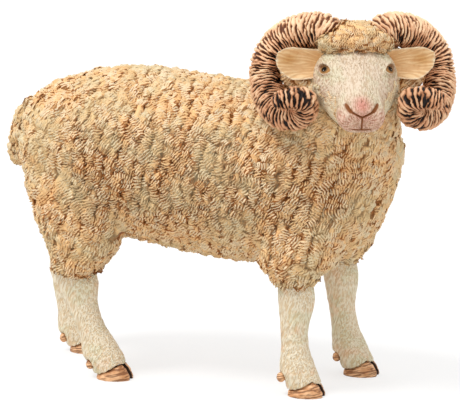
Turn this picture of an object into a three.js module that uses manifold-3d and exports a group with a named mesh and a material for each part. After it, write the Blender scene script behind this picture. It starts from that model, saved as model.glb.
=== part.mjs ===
// A toy ram: a rigid moulded figure that stands on four cloven hooves, its head turned to its right.
// Units are millimetres. +X points from rump to chest, +Y to the animal's left and +Z up.
// Each moulding is one closed solid, and plugs with a named clearance seat it in its neighbour.
import * as THREE from "three";
import { mergeVertices } from "three/addons/utils/BufferGeometryUtils.js";
import Module from "manifold-3d";

const wasm = await Module();
wasm.setup();

// Driving dimensions
const SEAM = 0.3; // clearance between two mouldings
const HEM_HEIGHT = 22; // ground to the hem of the wool on the legs
const BELLY_DROP = 3; // the belly line above that hem
const BARREL_LENGTH = 84.5;
const BARREL_WIDTH = 35;
const BARREL_HEIGHT = 41;

const SHOULDER_LENGTH = 19;
const SHOULDER_WIDTH = 15;
const SHOULDER_DEPTH = 34;
const THIGH_LENGTH = 23.8;
const THIGH_WIDTH = 16.4;
const THIGH_DEPTH = 36;
const NECK_LENGTH = 33;
const NECK_THICKNESS = 26;
const NECK_BREADTH = 26;
const RUFF_LENGTH = 9; // the ruff is the wool behind the ears, from cheek to cheek
const RUFF_WIDTH = 30;
const RUFF_HEIGHT = 14;
const FOLD_SPACING = 6.5; // from one fold of the wool to the next
const FOLD_DEPTH = 0.8; // crest of a fold to the hollow beside it

const HEAD_LENGTH = 26;
const HEAD_WIDTH = 16.8;
const HEAD_HEIGHT = 15.4;
const HEAD_TURN = 68; // degrees to its right
const HEAD_NOD = 28; // degrees that the face slopes below level
const SPIGOT_LENGTH = 9;
const SPIGOT_WIDTH = 8;
const LINE_WIDTH = 0.5; // the nostril slits and the line of the mouth
const LINE_DEPTH = 0.9;

const POLL_LENGTH = 11.4;
const POLL_WIDTH = 15.6;
const POLL_HEIGHT = 9;

const HORN_SPREAD = 17.4; // head's middle to the horn's centre line at its widest
const HORN_RISE = 10.3; // the face's axis at the eyes to the horn's centre line at its top
const HORN_SWEEP = 9; // how far the arch sweeps behind the eyes
const HORN_THICKNESS = 6.8;
const HORN_RIDGE = 0.3;

const EAR_LENGTH = 10.2;
const EAR_WIDTH = 6.4;
const EAR_THICKNESS = 2.2;
const EYE_WIDTH = 2.8;

const FRONT_LEG_GIRTH = 7.7;
const REAR_LEG_GIRTH = 8;
const LEG_PLUG = 6; // how far a leg reaches up into the wool
const FOOT_LENGTH = 7.2;
const FOOT_WIDTH = 6.4;
const CLAW_HEIGHT = 3.3;
const CLAW_CLEFT = 0.6;
const DEWCLAW_LENGTH = 2.2;
const DEWCLAW_WIDTH = 1.9;

const TAIL_LENGTH = 13;
const TAIL_WIDTH = 9;
const TAIL_THICKNESS = 7;

// Facets, as counts
const BARREL_SIDES = 32;
const FOLD_STEPS = 4; // rings of the barrel to one fold
const WOOL_SIDES = 32;
const LIMB_SIDES = 16;
const LIMB_RINGS = 9;
const NECK_RINGS = 12;
const HEAD_SIDES = 24;
const HEAD_RINGS = 14;
const HORN_SIDES = 12;
const HORN_RIDGES = 20;
const EAR_RINGS = 8;
const LEG_RINGS = 12;
const TAIL_RINGS = 7;
const SMALL_SIDES = 10;
const SMALL_ROWS = 8;
const DOME_RINGS = 3;

// Places that follow from the sizes
const BELLY_Z = HEM_HEIGHT + BELLY_DROP;
const HALF_WIDTH = BARREL_WIDTH / 2;

const EAST = new THREE.Vector3(1, 0, 0);
const NORTH = new THREE.Vector3(0, 1, 0);
const UP = new THREE.Vector3(0, 0, 1);

/** A point on the barrel's frame, given as shares of its length, half width and height. */
function onBarrel(alongShare, acrossShare, upShare) {
  return new THREE.Vector3(
    alongShare * BARREL_LENGTH,
    acrossShare * HALF_WIDTH,
    BELLY_Z + upShare * BARREL_HEIGHT,
  );
}

/** Rows of a table, read smoothly at count places between its first and its last row. */
function smoothRows(rows, count) {
  const curve = new THREE.CubicInterpolant(rows.map((row) => row[0]), rows.flat(), rows[0].length);
  const first = rows[0][0];
  const last = rows.at(-1)[0];
  return Array.from({ length: count }, (_, i) =>
    Array.from(curve.evaluate(THREE.MathUtils.lerp(first, last, i / (count - 1)))),
  );
}

/** One ring of a loft: a centre, and the half axes to the side, upwards and downwards. */
function ring(centre, side, up, down = up.clone().negate()) {
  return { centre, side, up, down };
}

/** Adds a rounded end to rings, standing out by depth from the last of them. */
function domed(rings, depth) {
  const last = rings.at(-1);
  const out = last.centre.clone().sub(rings.at(-2).centre).normalize();
  const extra = [];
  for (let i = 1; i <= DOME_RINGS; i++) {
    const angle = (i / (DOME_RINGS + 1)) * (Math.PI / 2);
    const shrink = Math.cos(angle);
    extra.push(
      ring(
        last.centre.clone().addScaledVector(out, depth * Math.sin(angle)),
        last.side.clone().multiplyScalar(shrink),
        last.up.clone().multiplyScalar(shrink),
        last.down.clone().multiplyScalar(shrink),
      ),
    );
  }
  return [...rings, ...extra];
}

/** Rounds both ends of a row of rings. */
function domedBoth(rings, startDepth, endDepth) {
  const started = domed([...rings].reverse(), startDepth).reverse();
  return domed(started, endDepth);
}

/** The same rings, larger all round by margin. */
function grown(rings, margin) {
  const longer = (v) => v.clone().setLength(v.length() + margin);
  const made = rings.map((r) => ring(r.centre.clone(), longer(r.side), longer(r.up), longer(r.down)));
  const push = (end, next) => {
    const out = end.centre.clone().sub(next.centre).normalize();
    end.centre.addScaledVector(out, margin);
  };
  push(made[0], rings[1]);
  push(made.at(-1), rings.at(-2));
  return made;
}

/** Triangles that join rings of count points each, and close the first and last ring at a pole. */
function tubeIndex(ringCount, count) {
  const index = [];
  for (let r = 0; r + 1 < ringCount; r++) {
    for (let i = 0; i < count; i++) {
      const a = r * count + i;
      const b = r * count + ((i + 1) % count);
      index.push(a, b, b + count, a, b + count, a + count);
    }
  }
  const startPole = ringCount * count;
  const top = startPole - count;
  for (let i = 0; i < count; i++) {
    const next = (i + 1) % count;
    index.push(startPole, next, i, startPole + 1, top + i, top + next);
  }
  return index;
}

/**
 * A closed solid through the rings, each an egg-shaped section with this many sides. lift gives how far
 * the surface stands out at a point.
 */
function loft(rings, sides, lift = () => 0) {
  const points = [];
  for (const { centre, side, up, down } of rings) {
    for (let i = 0; i < sides; i++) {
      const angle = (i / sides) * 2 * Math.PI;
      const rise = Math.sin(angle);
      const out = side.clone().multiplyScalar(Math.cos(angle));
      out.addScaledVector(rise < 0 ? down : up, Math.abs(rise));
      const point = centre.clone().add(out);
      points.push(point.addScaledVector(out.normalize(), lift(point)));
    }
  }
  points.push(rings[0].centre, rings.at(-1).centre);
  return solidOf(new THREE.BufferGeometry().setFromPoints(points).setIndex(tubeIndex(rings.length, sides)));
}

/** A closed geometry as a solid that can be cut and joined, whichever way its faces turn. */
function solidOf(geometry) {
  const bare = geometry.clone();
  bare.deleteAttribute("normal");
  bare.deleteAttribute("uv");
  const merged = mergeVertices(bare);
  const triVerts = new Uint32Array(merged.index.array);
  const vertProperties = merged.attributes.position.array;
  const make = () => new wasm.Manifold(new wasm.Mesh({ numProp: 3, vertProperties, triVerts }));
  const made = make();
  if (made.volume() > 0) return made;
  for (let i = 0; i < triVerts.length; i += 3) {
    [triVerts[i + 1], triVerts[i + 2]] = [triVerts[i + 2], triVerts[i + 1]];
  }
  return make();
}

/** A solid as a geometry whose faces keep their own corners. */
function geometryOf(solid) {
  const mesh = solid.getMesh();
  const geometry = new THREE.BufferGeometry();
  geometry.setAttribute("position", new THREE.BufferAttribute(mesh.vertProperties, mesh.numProp));
  geometry.setIndex(new THREE.BufferAttribute(mesh.triVerts, 1));
  const flat = geometry.toNonIndexed();
  flat.computeVertexNormals();
  return flat;
}

/** An ellipsoid with its three half axes given as vectors. */
function ellipsoid(centre, a, b, c) {
  const sphere = new THREE.SphereGeometry(1, SMALL_SIDES, SMALL_ROWS);
  const frame = new THREE.Matrix4().makeBasis(a, b, c).setPosition(centre);
  return solidOf(sphere.applyMatrix4(frame));
}

/** Every solid of a list, joined into one. */
function joined(solids) {
  return solids.reduce((whole, solid) => whole.add(solid));
}

/** A solid with every other solid of a list cut away from it. */
function without(solid, cutters) {
  return cutters.reduce((rest, cutter) => rest.subtract(cutter), solid);
}

// The wool body: a barrel with a shoulder and a thigh on each side, and a thick neck. Shallow folds run
// up its flanks, lean forwards, and fall back and out from the line of the spine. Each one wanders, and
// swells and sinks as it goes, so that they read as tufts and not as hoops.
const foldSlant = 0.26; // how far a fold leans forwards for each step up
const foldFall = 0.9; // how far it falls back for each step out from the spine
const wanderShare = 0.24; // of the spacing, to each side
const wanderStepShare = 2.3; // of the spacing, from one swing to the next
const tuftStepShare = 1.7; // of the spacing, from one swell to the next
const tuftShare = 0.45; // of the depth, which comes and goes along a fold

/** How far the wool stands out at a point, by the fold that the point lies on. */
function foldLift(point) {
  const turn = 2 * Math.PI / FOLD_SPACING;
  const across = point.x + foldFall * Math.abs(point.y) - foldSlant * point.z;
  const along = point.z + foldSlant * point.x;
  const wander = wanderShare * FOLD_SPACING * Math.sin(turn * (along + point.x / 2) / wanderStepShare);
  const swell = 1 - tuftShare + tuftShare * Math.sin(turn * (along - across) / tuftStepShare);
  return (FOLD_DEPTH / 2) * swell * Math.sin(turn * (across + wander));
}

// Along the barrel, half width, top and bottom, each as a share of the barrel's size.
const barrelShares = [
  [0.0, 0.24, 0.73, 0.44],
  [0.03, 0.48, 0.81, 0.32],
  [0.08, 0.7, 0.885, 0.2],
  [0.15, 0.87, 0.94, 0.12],
  [0.27, 0.97, 0.99, 0.08],
  [0.4, 0.99, 0.985, 0.04],
  [0.52, 1.0, 0.955, 0.005],
  [0.64, 0.99, 0.925, -0.01],
  [0.76, 0.95, 0.91, 0.0],
  [0.86, 0.84, 0.89, 0.03],
  [0.92, 0.68, 0.86, 0.13],
  [0.955, 0.5, 0.82, 0.28],
  [0.985, 0.28, 0.76, 0.46],
];
const BARREL_END = 0.6; // how far each end of the barrel is rounded out

function barrelSolid() {
  const count = Math.round((BARREL_LENGTH / FOLD_SPACING) * FOLD_STEPS);
  const rings = smoothRows(barrelShares, count).map(([along, half, top, bottom]) => {
    const waist = THREE.MathUtils.lerp(bottom, top, 0.5);
    return ring(
      onBarrel(along, 0, waist),
      NORTH.clone().multiplyScalar(half * HALF_WIDTH),
      UP.clone().multiplyScalar((top - waist) * BARREL_HEIGHT),
    );
  });
  return loft(domedBoth(rings, BARREL_END, BARREL_END), BARREL_SIDES, foldLift);
}

// Down the limb, how far the section lies ahead of the line from top to hem, and its half length and
// half width, as shares of the limb's own sizes.
const shoulderShares = [
  [0.0, 0.0, 0.7, 0.45],
  [0.14, 0.0, 0.84, 0.66],
  [0.49, 0.0, 1.0, 0.98],
  [0.78, 0.0, 0.94, 0.98],
  [0.88, 0.0, 0.8, 0.88],
  [0.95, 0.0, 0.62, 0.72],
  [1.0, 0.0, 0.46, 0.56],
];
const thighShares = [
  [0.0, 0.0, 0.7, 0.4],
  [0.22, 0.0, 0.94, 0.76],
  [0.46, 0.04, 1.0, 1.0],
  [0.64, 0.05, 0.88, 1.0],
  [0.75, 0.07, 0.79, 0.96],
  [0.84, 0.075, 0.67, 0.88],
  [0.92, 0.05, 0.55, 0.76],
  [1.0, 0.0, 0.45, 0.62],
];
const HEM_DOME = 0.8; // how far the hem of the wool rounds in under itself

/** The wool on one limb: it hangs from top to hem, and its section follows the table. */
function woolLimb(shares, top, hem, length, width) {
  const rings = smoothRows(shares, LIMB_RINGS).map(([down, ahead, long, wide]) =>
    ring(
      top.clone().lerp(hem, down).addScaledVector(EAST, ahead * length),
      EAST.clone().multiplyScalar((long * length) / 2),
      NORTH.clone().multiplyScalar((wide * width) / 2),
    ),
  );
  return loft(domedBoth(rings, HEM_DOME, HEM_DOME), WOOL_SIDES, foldLift);
}

// Each leg: where the wool starts, where it ends in a hem and where the foot stands, as shares of the
// barrel's length and half width, how high the hem is, as a share of the hem's height, and how far the
// leg bows backwards, of the foot's length.
const legPlaces = {
  front_right: { top: [0.79, -0.38], hem: [0.772, -0.57], foot: [0.802, -0.58], hemShare: 1, bow: 0 },
  front_left: { top: [0.79, 0.38], hem: [0.81, 0.55], foot: [0.872, 0.56], hemShare: 1.09, bow: 0 },
  rear_right: { top: [0.16, -0.3], hem: [0.193, -0.6], foot: [0.299, -0.64], hemShare: 1, bow: 0 },
  rear_left: { top: [0.15, 0.3], hem: [0.084, 0.52], foot: [0.122, 0.46], hemShare: 1, bow: 0.2 },
};
const rearLegs = [legPlaces.rear_right, legPlaces.rear_left];

function hemOf(place) {
  return onBarrel(...place.hem, 0).setZ(HEM_HEIGHT * place.hemShare);
}

function footOf(place) {
  return onBarrel(...place.foot, 0).setZ(0);
}

function woolOn(place) {
  const hem = hemOf(place);
  const depth = rearLegs.includes(place) ? THIGH_DEPTH : SHOULDER_DEPTH;
  const top = onBarrel(...place.top, 0).setZ(hem.z + depth);
  return rearLegs.includes(place)
    ? woolLimb(thighShares, top, hem, THIGH_LENGTH, THIGH_WIDTH)
    : woolLimb(shoulderShares, top, hem, SHOULDER_LENGTH, SHOULDER_WIDTH);
}

// The head's frame: its middle stands over the chest, and its face turns to the animal's right.
const headMiddle = onBarrel(0.927, -0.714, 0.984);
const headForward = EAST.clone().applyAxisAngle(UP, THREE.MathUtils.degToRad(-HEAD_TURN));
const headLeft = UP.clone().cross(headForward);

/** A point in the head's frame: forward, to its left and up from its middle. */
function onHead(forward, left, up) {
  return headMiddle
    .clone()
    .addScaledVector(headForward, forward)
    .addScaledVector(headLeft, left)
    .addScaledVector(UP, up);
}

// Up the neck: half thickness front to back and half breadth, as shares.
const neckShares = [
  [0.0, 0.95, 1.0],
  [0.3, 1.0, 1.0],
  [0.6, 0.9, 0.92],
  [0.85, 0.74, 0.72],
  [1.0, 0.56, 0.5],
];
const NECK_END = 2.5; // how far the top of the neck rounds over
const neckFoot = onBarrel(0.8, 0, 0.42);
const neckAim = { backShare: -0.34, upShare: 0.28 }; // the neck aims here from the head's middle
const ruffPlace = { backShare: -0.22, upShare: 0.09 }; // of the head's length and height

/** The ruff of wool behind the ears. */
function ruffSolid() {
  return ellipsoid(
    onHead(ruffPlace.backShare * HEAD_LENGTH, 0, ruffPlace.upShare * HEAD_HEIGHT),
    headForward.clone().multiplyScalar(RUFF_LENGTH / 2),
    headLeft.clone().multiplyScalar(RUFF_WIDTH / 2),
    UP.clone().multiplyScalar(RUFF_HEIGHT / 2),
  );
}

function neckSolid() {
  const aim = onHead(neckAim.backShare * HEAD_LENGTH, 0, neckAim.upShare * HEAD_HEIGHT);
  const toHead = aim.sub(neckFoot).normalize();
  const across = NORTH.clone().cross(toHead).normalize();
  const rings = smoothRows(neckShares, NECK_RINGS).map(([up, thick, broad]) =>
    ring(
      neckFoot.clone().addScaledVector(toHead, up * NECK_LENGTH),
      across.clone().multiplyScalar((thick * NECK_THICKNESS) / 2),
      NORTH.clone().multiplyScalar((broad * NECK_BREADTH) / 2),
    ),
  );
  return loft(domedBoth(rings, NECK_END, NECK_END), WOOL_SIDES, foldLift);
}

// The head: a tapering skull that slopes from the poll to the muzzle.

// Along the face, half width, height above and below its axis, as shares of the head's sizes.
const headShares = [
  [0.0, 0.5, 0.3, 0.5],
  [0.12, 0.78, 0.56, 0.72],
  [0.25, 0.94, 0.76, 0.88],
  [0.38, 1.0, 0.86, 0.98],
  [0.49, 0.98, 0.84, 1.0],
  [0.6, 0.85, 0.76, 0.96],
  [0.72, 0.68, 0.68, 0.82],
  [0.84, 0.58, 0.62, 0.6],
  [0.93, 0.55, 0.56, 0.5],
  [0.99, 0.46, 0.42, 0.4],
];
const HEAD_BACK = 1.5; // how far the back of the skull is rounded
const NOSE_TIP = 0.8; // how far the nose is rounded
const eyeLineShare = 0.49; // how far along the face the head's middle lies
const faceAlong = onHead(
  Math.cos(THREE.MathUtils.degToRad(HEAD_NOD)),
  0,
  -Math.sin(THREE.MathUtils.degToRad(HEAD_NOD)),
).sub(headMiddle);
const faceUp = faceAlong.clone().cross(headLeft);

/** A point on the face's own frame, as shares of the head's length, half width and half height. */
function onFace(alongShare, leftShare = 0, upShare = 0) {
  return headMiddle
    .clone()
    .addScaledVector(faceAlong, (alongShare - eyeLineShare) * HEAD_LENGTH)
    .addScaledVector(headLeft, (leftShare * HEAD_WIDTH) / 2)
    .addScaledVector(faceUp, (upShare * HEAD_HEIGHT) / 2);
}

function headRings() {
  const rings = smoothRows(headShares, HEAD_RINGS).map(([along, wide, above, below]) =>
    ring(
      onFace(along),
      headLeft.clone().multiplyScalar((wide * HEAD_WIDTH) / 2),
      faceUp.clone().multiplyScalar((above * HEAD_HEIGHT) / 2),
      faceUp.clone().multiplyScalar((-below * HEAD_HEIGHT) / 2),
    ),
  );
  return domedBoth(rings, HEAD_BACK, NOSE_TIP);
}

const spigotShare = 0.3; // how far along the face the spigot leaves the head

/** The spigot that plugs the head into the neck. */
function spigotRings() {
  const start = onFace(spigotShare);
  const towards = neckFoot.clone().sub(start).normalize();
  const side = headLeft.clone().cross(towards).normalize();
  const other = towards.clone().cross(side).normalize();
  const end = start.clone().addScaledVector(towards, HEAD_HEIGHT / 2 + SPIGOT_LENGTH);
  return [start, end].map((centre) =>
    ring(
      centre,
      side.clone().multiplyScalar(SPIGOT_WIDTH / 2),
      other.clone().multiplyScalar(SPIGOT_WIDTH / 2),
    ),
  );
}

// The lines of the nose, on one side of it: each end to the left and up, of the head's half sizes.
const faceLines = [
  { from: [0.06, -0.08], to: [0.44, 0.3] },
  { from: [-0.28, -0.24], to: [0.28, -0.24] },
  { from: [0, -0.1], to: [0, -0.24] },
];
const faceLineShare = 0.995; // how far along the face the lines lie

/** A thin cutter along one line of the nose, on the head's right (sign -1) or left (sign 1). */
function faceLineSolid({ from, to }, sign) {
  const start = onFace(faceLineShare, sign * from[0], from[1]);
  const end = onFace(faceLineShare, sign * to[0], to[1]);
  const along = end.clone().sub(start).divideScalar(2);
  const across = along.clone().cross(faceAlong).setLength(LINE_WIDTH / 2);
  return ellipsoid(
    start.clone().lerp(end, 1 / 2),
    along.clone().setLength(along.length() + LINE_WIDTH / 2),
    across,
    faceAlong.clone().multiplyScalar(LINE_DEPTH),
  );
}

const pollPlace = onFace(0.26, 0, 0.77); // the middle of the cap of wool between the horns

function pollSolid(margin) {
  return ellipsoid(
    pollPlace,
    headForward.clone().multiplyScalar(POLL_LENGTH / 2 + margin),
    headLeft.clone().multiplyScalar(POLL_WIDTH / 2 + margin),
    UP.clone().multiplyScalar(POLL_HEIGHT / 2 + margin),
  );
}

// The horns: each goes over, out and down, and then curls in and forward beside the cheek.
// Out from the head's middle, up and back from the eyes, as shares of the spread, rise and sweep.
const hornPathShares = [
  [0.2, 0.84, 0.32],
  [0.33, 0.99, 0.45],
  [0.57, 0.98, 0.67],
  [0.76, 0.82, 0.89],
  [0.94, 0.5, 1.0],
  [1.0, 0.14, 0.94],
  [0.995, -0.21, 0.67],
  [0.925, -0.5, 0.33],
  [0.76, -0.62, -0.04],
  [0.61, -0.49, -0.3],
  [0.62, -0.25, -0.52],
  [0.76, -0.2, -0.62],
  [0.9, -0.25, -0.62],
];
// Along the horn, and its thickness as a share of the greatest.
const hornThicknessShares = [
  [0.0, 0.9],
  [0.15, 1.0],
  [0.4, 0.96],
  [0.6, 0.88],
  [0.75, 0.76],
  [0.88, 0.7],
  [1.0, 0.5],
];
const hornTipShare = 0.2; // how far the tip is rounded out, of the thickness

/** The rings of one horn, on the head's right (sign -1) or on its left (sign 1). */
function hornRings(sign) {
  const path = new THREE.CatmullRomCurve3(
    hornPathShares.map(([out, up, back]) =>
      onHead(-back * HORN_SWEEP, sign * out * HORN_SPREAD, up * HORN_RISE),
    ),
  );
  const count = 2 * HORN_RIDGES;
  const frames = path.computeFrenetFrames(count);
  const rings = smoothRows(hornThicknessShares, count + 1).map(([along, thickness], i) => {
    const ridge = i % 2 ? HORN_RIDGE / 2 : -HORN_RIDGE / 2;
    const radius = (thickness * HORN_THICKNESS) / 2 + ridge;
    return ring(
      path.getPointAt(along),
      frames.normals[i].clone().multiplyScalar(radius),
      frames.binormals[i].clone().multiplyScalar(radius),
    );
  });
  return domed(rings, hornTipShare * HORN_THICKNESS);
}

// The ears: a leaf each, hollowed towards the front.
// Along the ear, half width and half thickness, as shares.
const earShares = [
  [0.0, 0.5, 0.9],
  [0.2, 0.66, 1.0],
  [0.45, 0.94, 1.0],
  [0.65, 1.0, 0.9],
  [0.85, 0.8, 0.7],
  [1.0, 0.36, 0.44],
];
const earRoot = { forwardShare: -0.09, leftShare: 0.34, upShare: 0.16 }; // of the head's sizes
const earRise = 0.34; // how much the ear climbs for each step outwards
const earLean = 0.04; // how much it leans forward for each step outwards
const earTipShare = 0.25; // how far the tip is rounded out, of the thickness
const earHollow = { alongShare: 0.6, longShare: 0.34, wideShare: 0.36, deepShare: 0.62, outShare: 0.55 };

/** The ear's own axes: along it, across it, and out of its hollow. */
function earFrame(sign) {
  const along = headLeft
    .clone()
    .multiplyScalar(sign)
    .addScaledVector(UP, earRise)
    .addScaledVector(headForward, earLean)
    .normalize();
  const wide = UP.clone().addScaledVector(along, -UP.dot(along)).normalize();
  return { along, wide, thick: along.clone().cross(wide).multiplyScalar(sign) };
}

function onEar(sign, share) {
  return onHead(
    earRoot.forwardShare * HEAD_LENGTH,
    sign * earRoot.leftShare * HEAD_WIDTH,
    earRoot.upShare * HEAD_HEIGHT,
  ).addScaledVector(earFrame(sign).along, share * EAR_LENGTH);
}

function earRings(sign) {
  const { wide, thick } = earFrame(sign);
  const rings = smoothRows(earShares, EAR_RINGS).map(([share, half, deep]) =>
    ring(
      onEar(sign, share),
      wide.clone().multiplyScalar((half * EAR_WIDTH) / 2),
      thick.clone().multiplyScalar((deep * EAR_THICKNESS) / 2),
    ),
  );
  return domed(rings, earTipShare * EAR_THICKNESS);
}

function earSolid(sign) {
  const { along, wide, thick } = earFrame(sign);
  const hollow = ellipsoid(
    onEar(sign, earHollow.alongShare).addScaledVector(thick, EAR_THICKNESS * earHollow.outShare),
    along.clone().multiplyScalar(EAR_LENGTH * earHollow.longShare),
    wide.clone().multiplyScalar(EAR_WIDTH * earHollow.wideShare),
    thick.clone().multiplyScalar(EAR_THICKNESS * earHollow.deepShare),
  );
  return loft(earRings(sign), SMALL_SIDES).subtract(hollow);
}

const eyePlace = { alongShare: 0.5, leftShare: 0.74, upShare: 0.42 }; // of the head's half sizes

function eyeSolid(sign, margin) {
  const radius = EYE_WIDTH / 2 + margin;
  return ellipsoid(
    onFace(eyePlace.alongShare, sign * eyePlace.leftShare, eyePlace.upShare),
    EAST.clone().multiplyScalar(radius),
    NORTH.clone().multiplyScalar(radius),
    UP.clone().multiplyScalar(radius),
  );
}

// The legs. Height above ground as a share of the hem's height, how far the section lies behind the line
// from foot to hem as a share of the foot's length, and its half length and half width as shares of girth.
const frontLegShares = [
  [0.05, 0.06, 0.92, 0.82],
  [0.14, 0.08, 1.01, 0.84],
  [0.2, 0.17, 1.06, 0.88],
  [0.28, 0.19, 0.98, 0.86],
  [0.4, 0.21, 0.8, 0.74],
  [0.52, 0.2, 0.73, 0.7],
  [0.62, 0.18, 0.74, 0.72],
  [0.75, 0.1, 0.86, 0.78],
  [0.88, 0.02, 1.0, 0.88],
  [1.0, 0.0, 1.0, 0.9],
];
const rearLegShares = [
  [0.05, 0.07, 0.93, 0.8],
  [0.14, 0.1, 1.08, 0.82],
  [0.22, 0.12, 1.16, 0.82],
  [0.37, 0.12, 0.94, 0.7],
  [0.5, 0.18, 0.82, 0.64],
  [0.62, 0.21, 0.84, 0.66],
  [0.75, 0.2, 0.96, 0.72],
  [0.86, 0.17, 1.2, 0.8],
  [0.95, 0.1, 1.28, 0.84],
  [1.0, 0.05, 1.2, 0.84],
];
const SOLE_DOME = 0.5; // how far the foot rounds in above the claws
const PLUG_DOME = 1.2; // how far the top of the plug is rounded
const plugTaperShare = 0.8;

function legRings(place) {
  const shares = rearLegs.includes(place) ? rearLegShares : frontLegShares;
  const girth = rearLegs.includes(place) ? REAR_LEG_GIRTH : FRONT_LEG_GIRTH;
  const foot = footOf(place);
  const hem = hemOf(place);
  const rings = smoothRows(shares, LEG_RINGS).map(([height, behind, long, wide]) =>
    ring(
      foot
        .clone()
        .lerp(hem, height)
        .addScaledVector(EAST, -(behind + place.bow * Math.sin(height * Math.PI)) * FOOT_LENGTH),
      EAST.clone().multiplyScalar((long * girth) / 2),
      NORTH.clone().multiplyScalar((wide * girth) / 2),
    ),
  );
  const top = rings.at(-1);
  const plug = ring(
    top.centre.clone().addScaledVector(UP, LEG_PLUG - PLUG_DOME),
    top.side.clone().multiplyScalar(plugTaperShare),
    top.up.clone().multiplyScalar(plugTaperShare),
  );
  return domedBoth([...rings, plug], SOLE_DOME, PLUG_DOME);
}

// The claws: two to a hoof, flat underneath and along the cleft.
// Heel to toe, width and height, as shares of the claw's own sizes.
const clawShares = [
  [0.0, 0.5, 0.34],
  [0.12, 0.8, 0.44],
  [0.35, 1.0, 0.6],
  [0.58, 0.98, 0.84],
  [0.74, 0.86, 1.0],
  [0.88, 0.64, 0.74],
  [1.0, 0.34, 0.3],
];
// The section of a claw, from the cleft round to the outside, as shares of its width and height.
const clawSectionShares = [
  [0, 0],
  [1, 0],
  [1.02, 0.34],
  [0.88, 0.76],
  [0.6, 0.96],
  [0, 1],
];
const clawMiddleShare = 0.5;

/** One claw: the right-hand one of the pair (sign -1) or the left-hand one (sign 1). */
function clawSolid(place, sign, margin) {
  const foot = footOf(place);
  const width = (FOOT_WIDTH - CLAW_CLEFT) / 2;
  const points = [];
  for (const [along, wide, high] of clawShares) {
    const end = along === 0 ? -margin : along === 1 ? margin : 0;
    for (const [across, lift] of clawSectionShares) {
      const out = across ? across * wide * width + margin : -margin;
      const rise = lift ? lift * high * CLAW_HEIGHT + margin : -margin;
      points.push(
        foot
          .clone()
          .addScaledVector(EAST, (along - clawMiddleShare) * FOOT_LENGTH + end)
          .addScaledVector(NORTH, sign * (CLAW_CLEFT / 2 + out))
          .addScaledVector(UP, rise),
      );
    }
  }
  const count = clawSectionShares.length;
  const middle = (ringPoints) =>
    ringPoints.reduce((sum, point) => sum.add(point), new THREE.Vector3()).divideScalar(count);
  points.push(middle(points.slice(0, count)), middle(points.slice(-count)));
  const index = tubeIndex(clawShares.length, count);
  return solidOf(new THREE.BufferGeometry().setFromPoints(points).setIndex(index));
}

// Behind the foot, to each side of it and up, of the foot's length, its width and the claw's height.
const dewclawPlace = { behindShare: 0.71, sideShare: 0.25, frontUpShare: 1.15, rearUpShare: 0.9 };

function dewclawSolid(place, sign, margin) {
  const round = DEWCLAW_WIDTH / 2 + margin;
  const upShare = rearLegs.includes(place) ? dewclawPlace.rearUpShare : dewclawPlace.frontUpShare;
  return ellipsoid(
    footOf(place)
      .addScaledVector(EAST, -dewclawPlace.behindShare * FOOT_LENGTH)
      .addScaledVector(NORTH, sign * dewclawPlace.sideShare * FOOT_WIDTH)
      .addScaledVector(UP, upShare * CLAW_HEIGHT),
    EAST.clone().multiplyScalar(round),
    NORTH.clone().multiplyScalar(round),
    UP.clone().multiplyScalar(DEWCLAW_LENGTH / 2 + margin),
  );
}

// The tail: short, woolly, and lying on the rump. Down the tail, half width and half thickness, as shares.
const tailShares = [
  [0.0, 0.5, 0.46],
  [0.3, 0.86, 0.8],
  [0.6, 1.0, 0.96],
  [0.85, 0.94, 1.0],
  [1.0, 0.68, 0.74],
];
const tailRoot = onBarrel(0.016, 0, 0.79);
const tailSlant = 0.17; // how far it leans out for each step down
const tailEndShare = 0.2; // how far each end is rounded out, of the thickness

function tailRings() {
  const down = UP.clone().negate().addScaledVector(EAST, -tailSlant).normalize();
  const out = NORTH.clone().cross(down).normalize();
  const rings = smoothRows(tailShares, TAIL_RINGS).map(([share, wide, thick]) =>
    ring(
      tailRoot.clone().addScaledVector(down, share * TAIL_LENGTH),
      NORTH.clone().multiplyScalar((wide * TAIL_WIDTH) / 2),
      out.clone().multiplyScalar((thick * TAIL_THICKNESS) / 2),
    ),
  );
  const end = tailEndShare * TAIL_THICKNESS;
  return domedBoth(rings, end, end);
}

const materials = {
  fleece: new THREE.MeshStandardMaterial({ color: 0xdcbb8c, roughness: 0.75, metalness: 0 }),
  skin: new THREE.MeshStandardMaterial({ color: 0xefe3cb, roughness: 0.6, metalness: 0 }),
  horn: new THREE.MeshStandardMaterial({ color: 0xa97b5c, roughness: 0.65, metalness: 0 }),
  hoof: new THREE.MeshStandardMaterial({ color: 0xb9835a, roughness: 0.55, metalness: 0 }),
  ear: new THREE.MeshStandardMaterial({ color: 0xe3ca98, roughness: 0.6, metalness: 0 }),
  eye: new THREE.MeshStandardMaterial({ color: 0x2b211a, roughness: 0.15, metalness: 0 }),
};

// Assembly: each solid gives way, with a clearance, to the mouldings that seat in it.

const figure = new THREE.Group();

function addPart(name, solid, material) {
  const mesh = new THREE.Mesh(geometryOf(solid), material);
  mesh.name = name;
  figure.add(mesh);
}

const signs = { right: -1, left: 1 };
const sideNames = Object.keys(signs);
const hornRoom = sideNames.map((side) => loft(grown(hornRings(signs[side]), SEAM), HORN_SIDES));
const earRoom = sideNames.map((side) => loft(grown(earRings(signs[side]), SEAM), SMALL_SIDES));
const eyeRoom = sideNames.map((side) => eyeSolid(signs[side], SEAM));
const headRoom = joined([
  loft(grown(headRings(), SEAM), HEAD_SIDES),
  loft(grown(spigotRings(), SEAM), LIMB_SIDES),
]);

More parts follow.
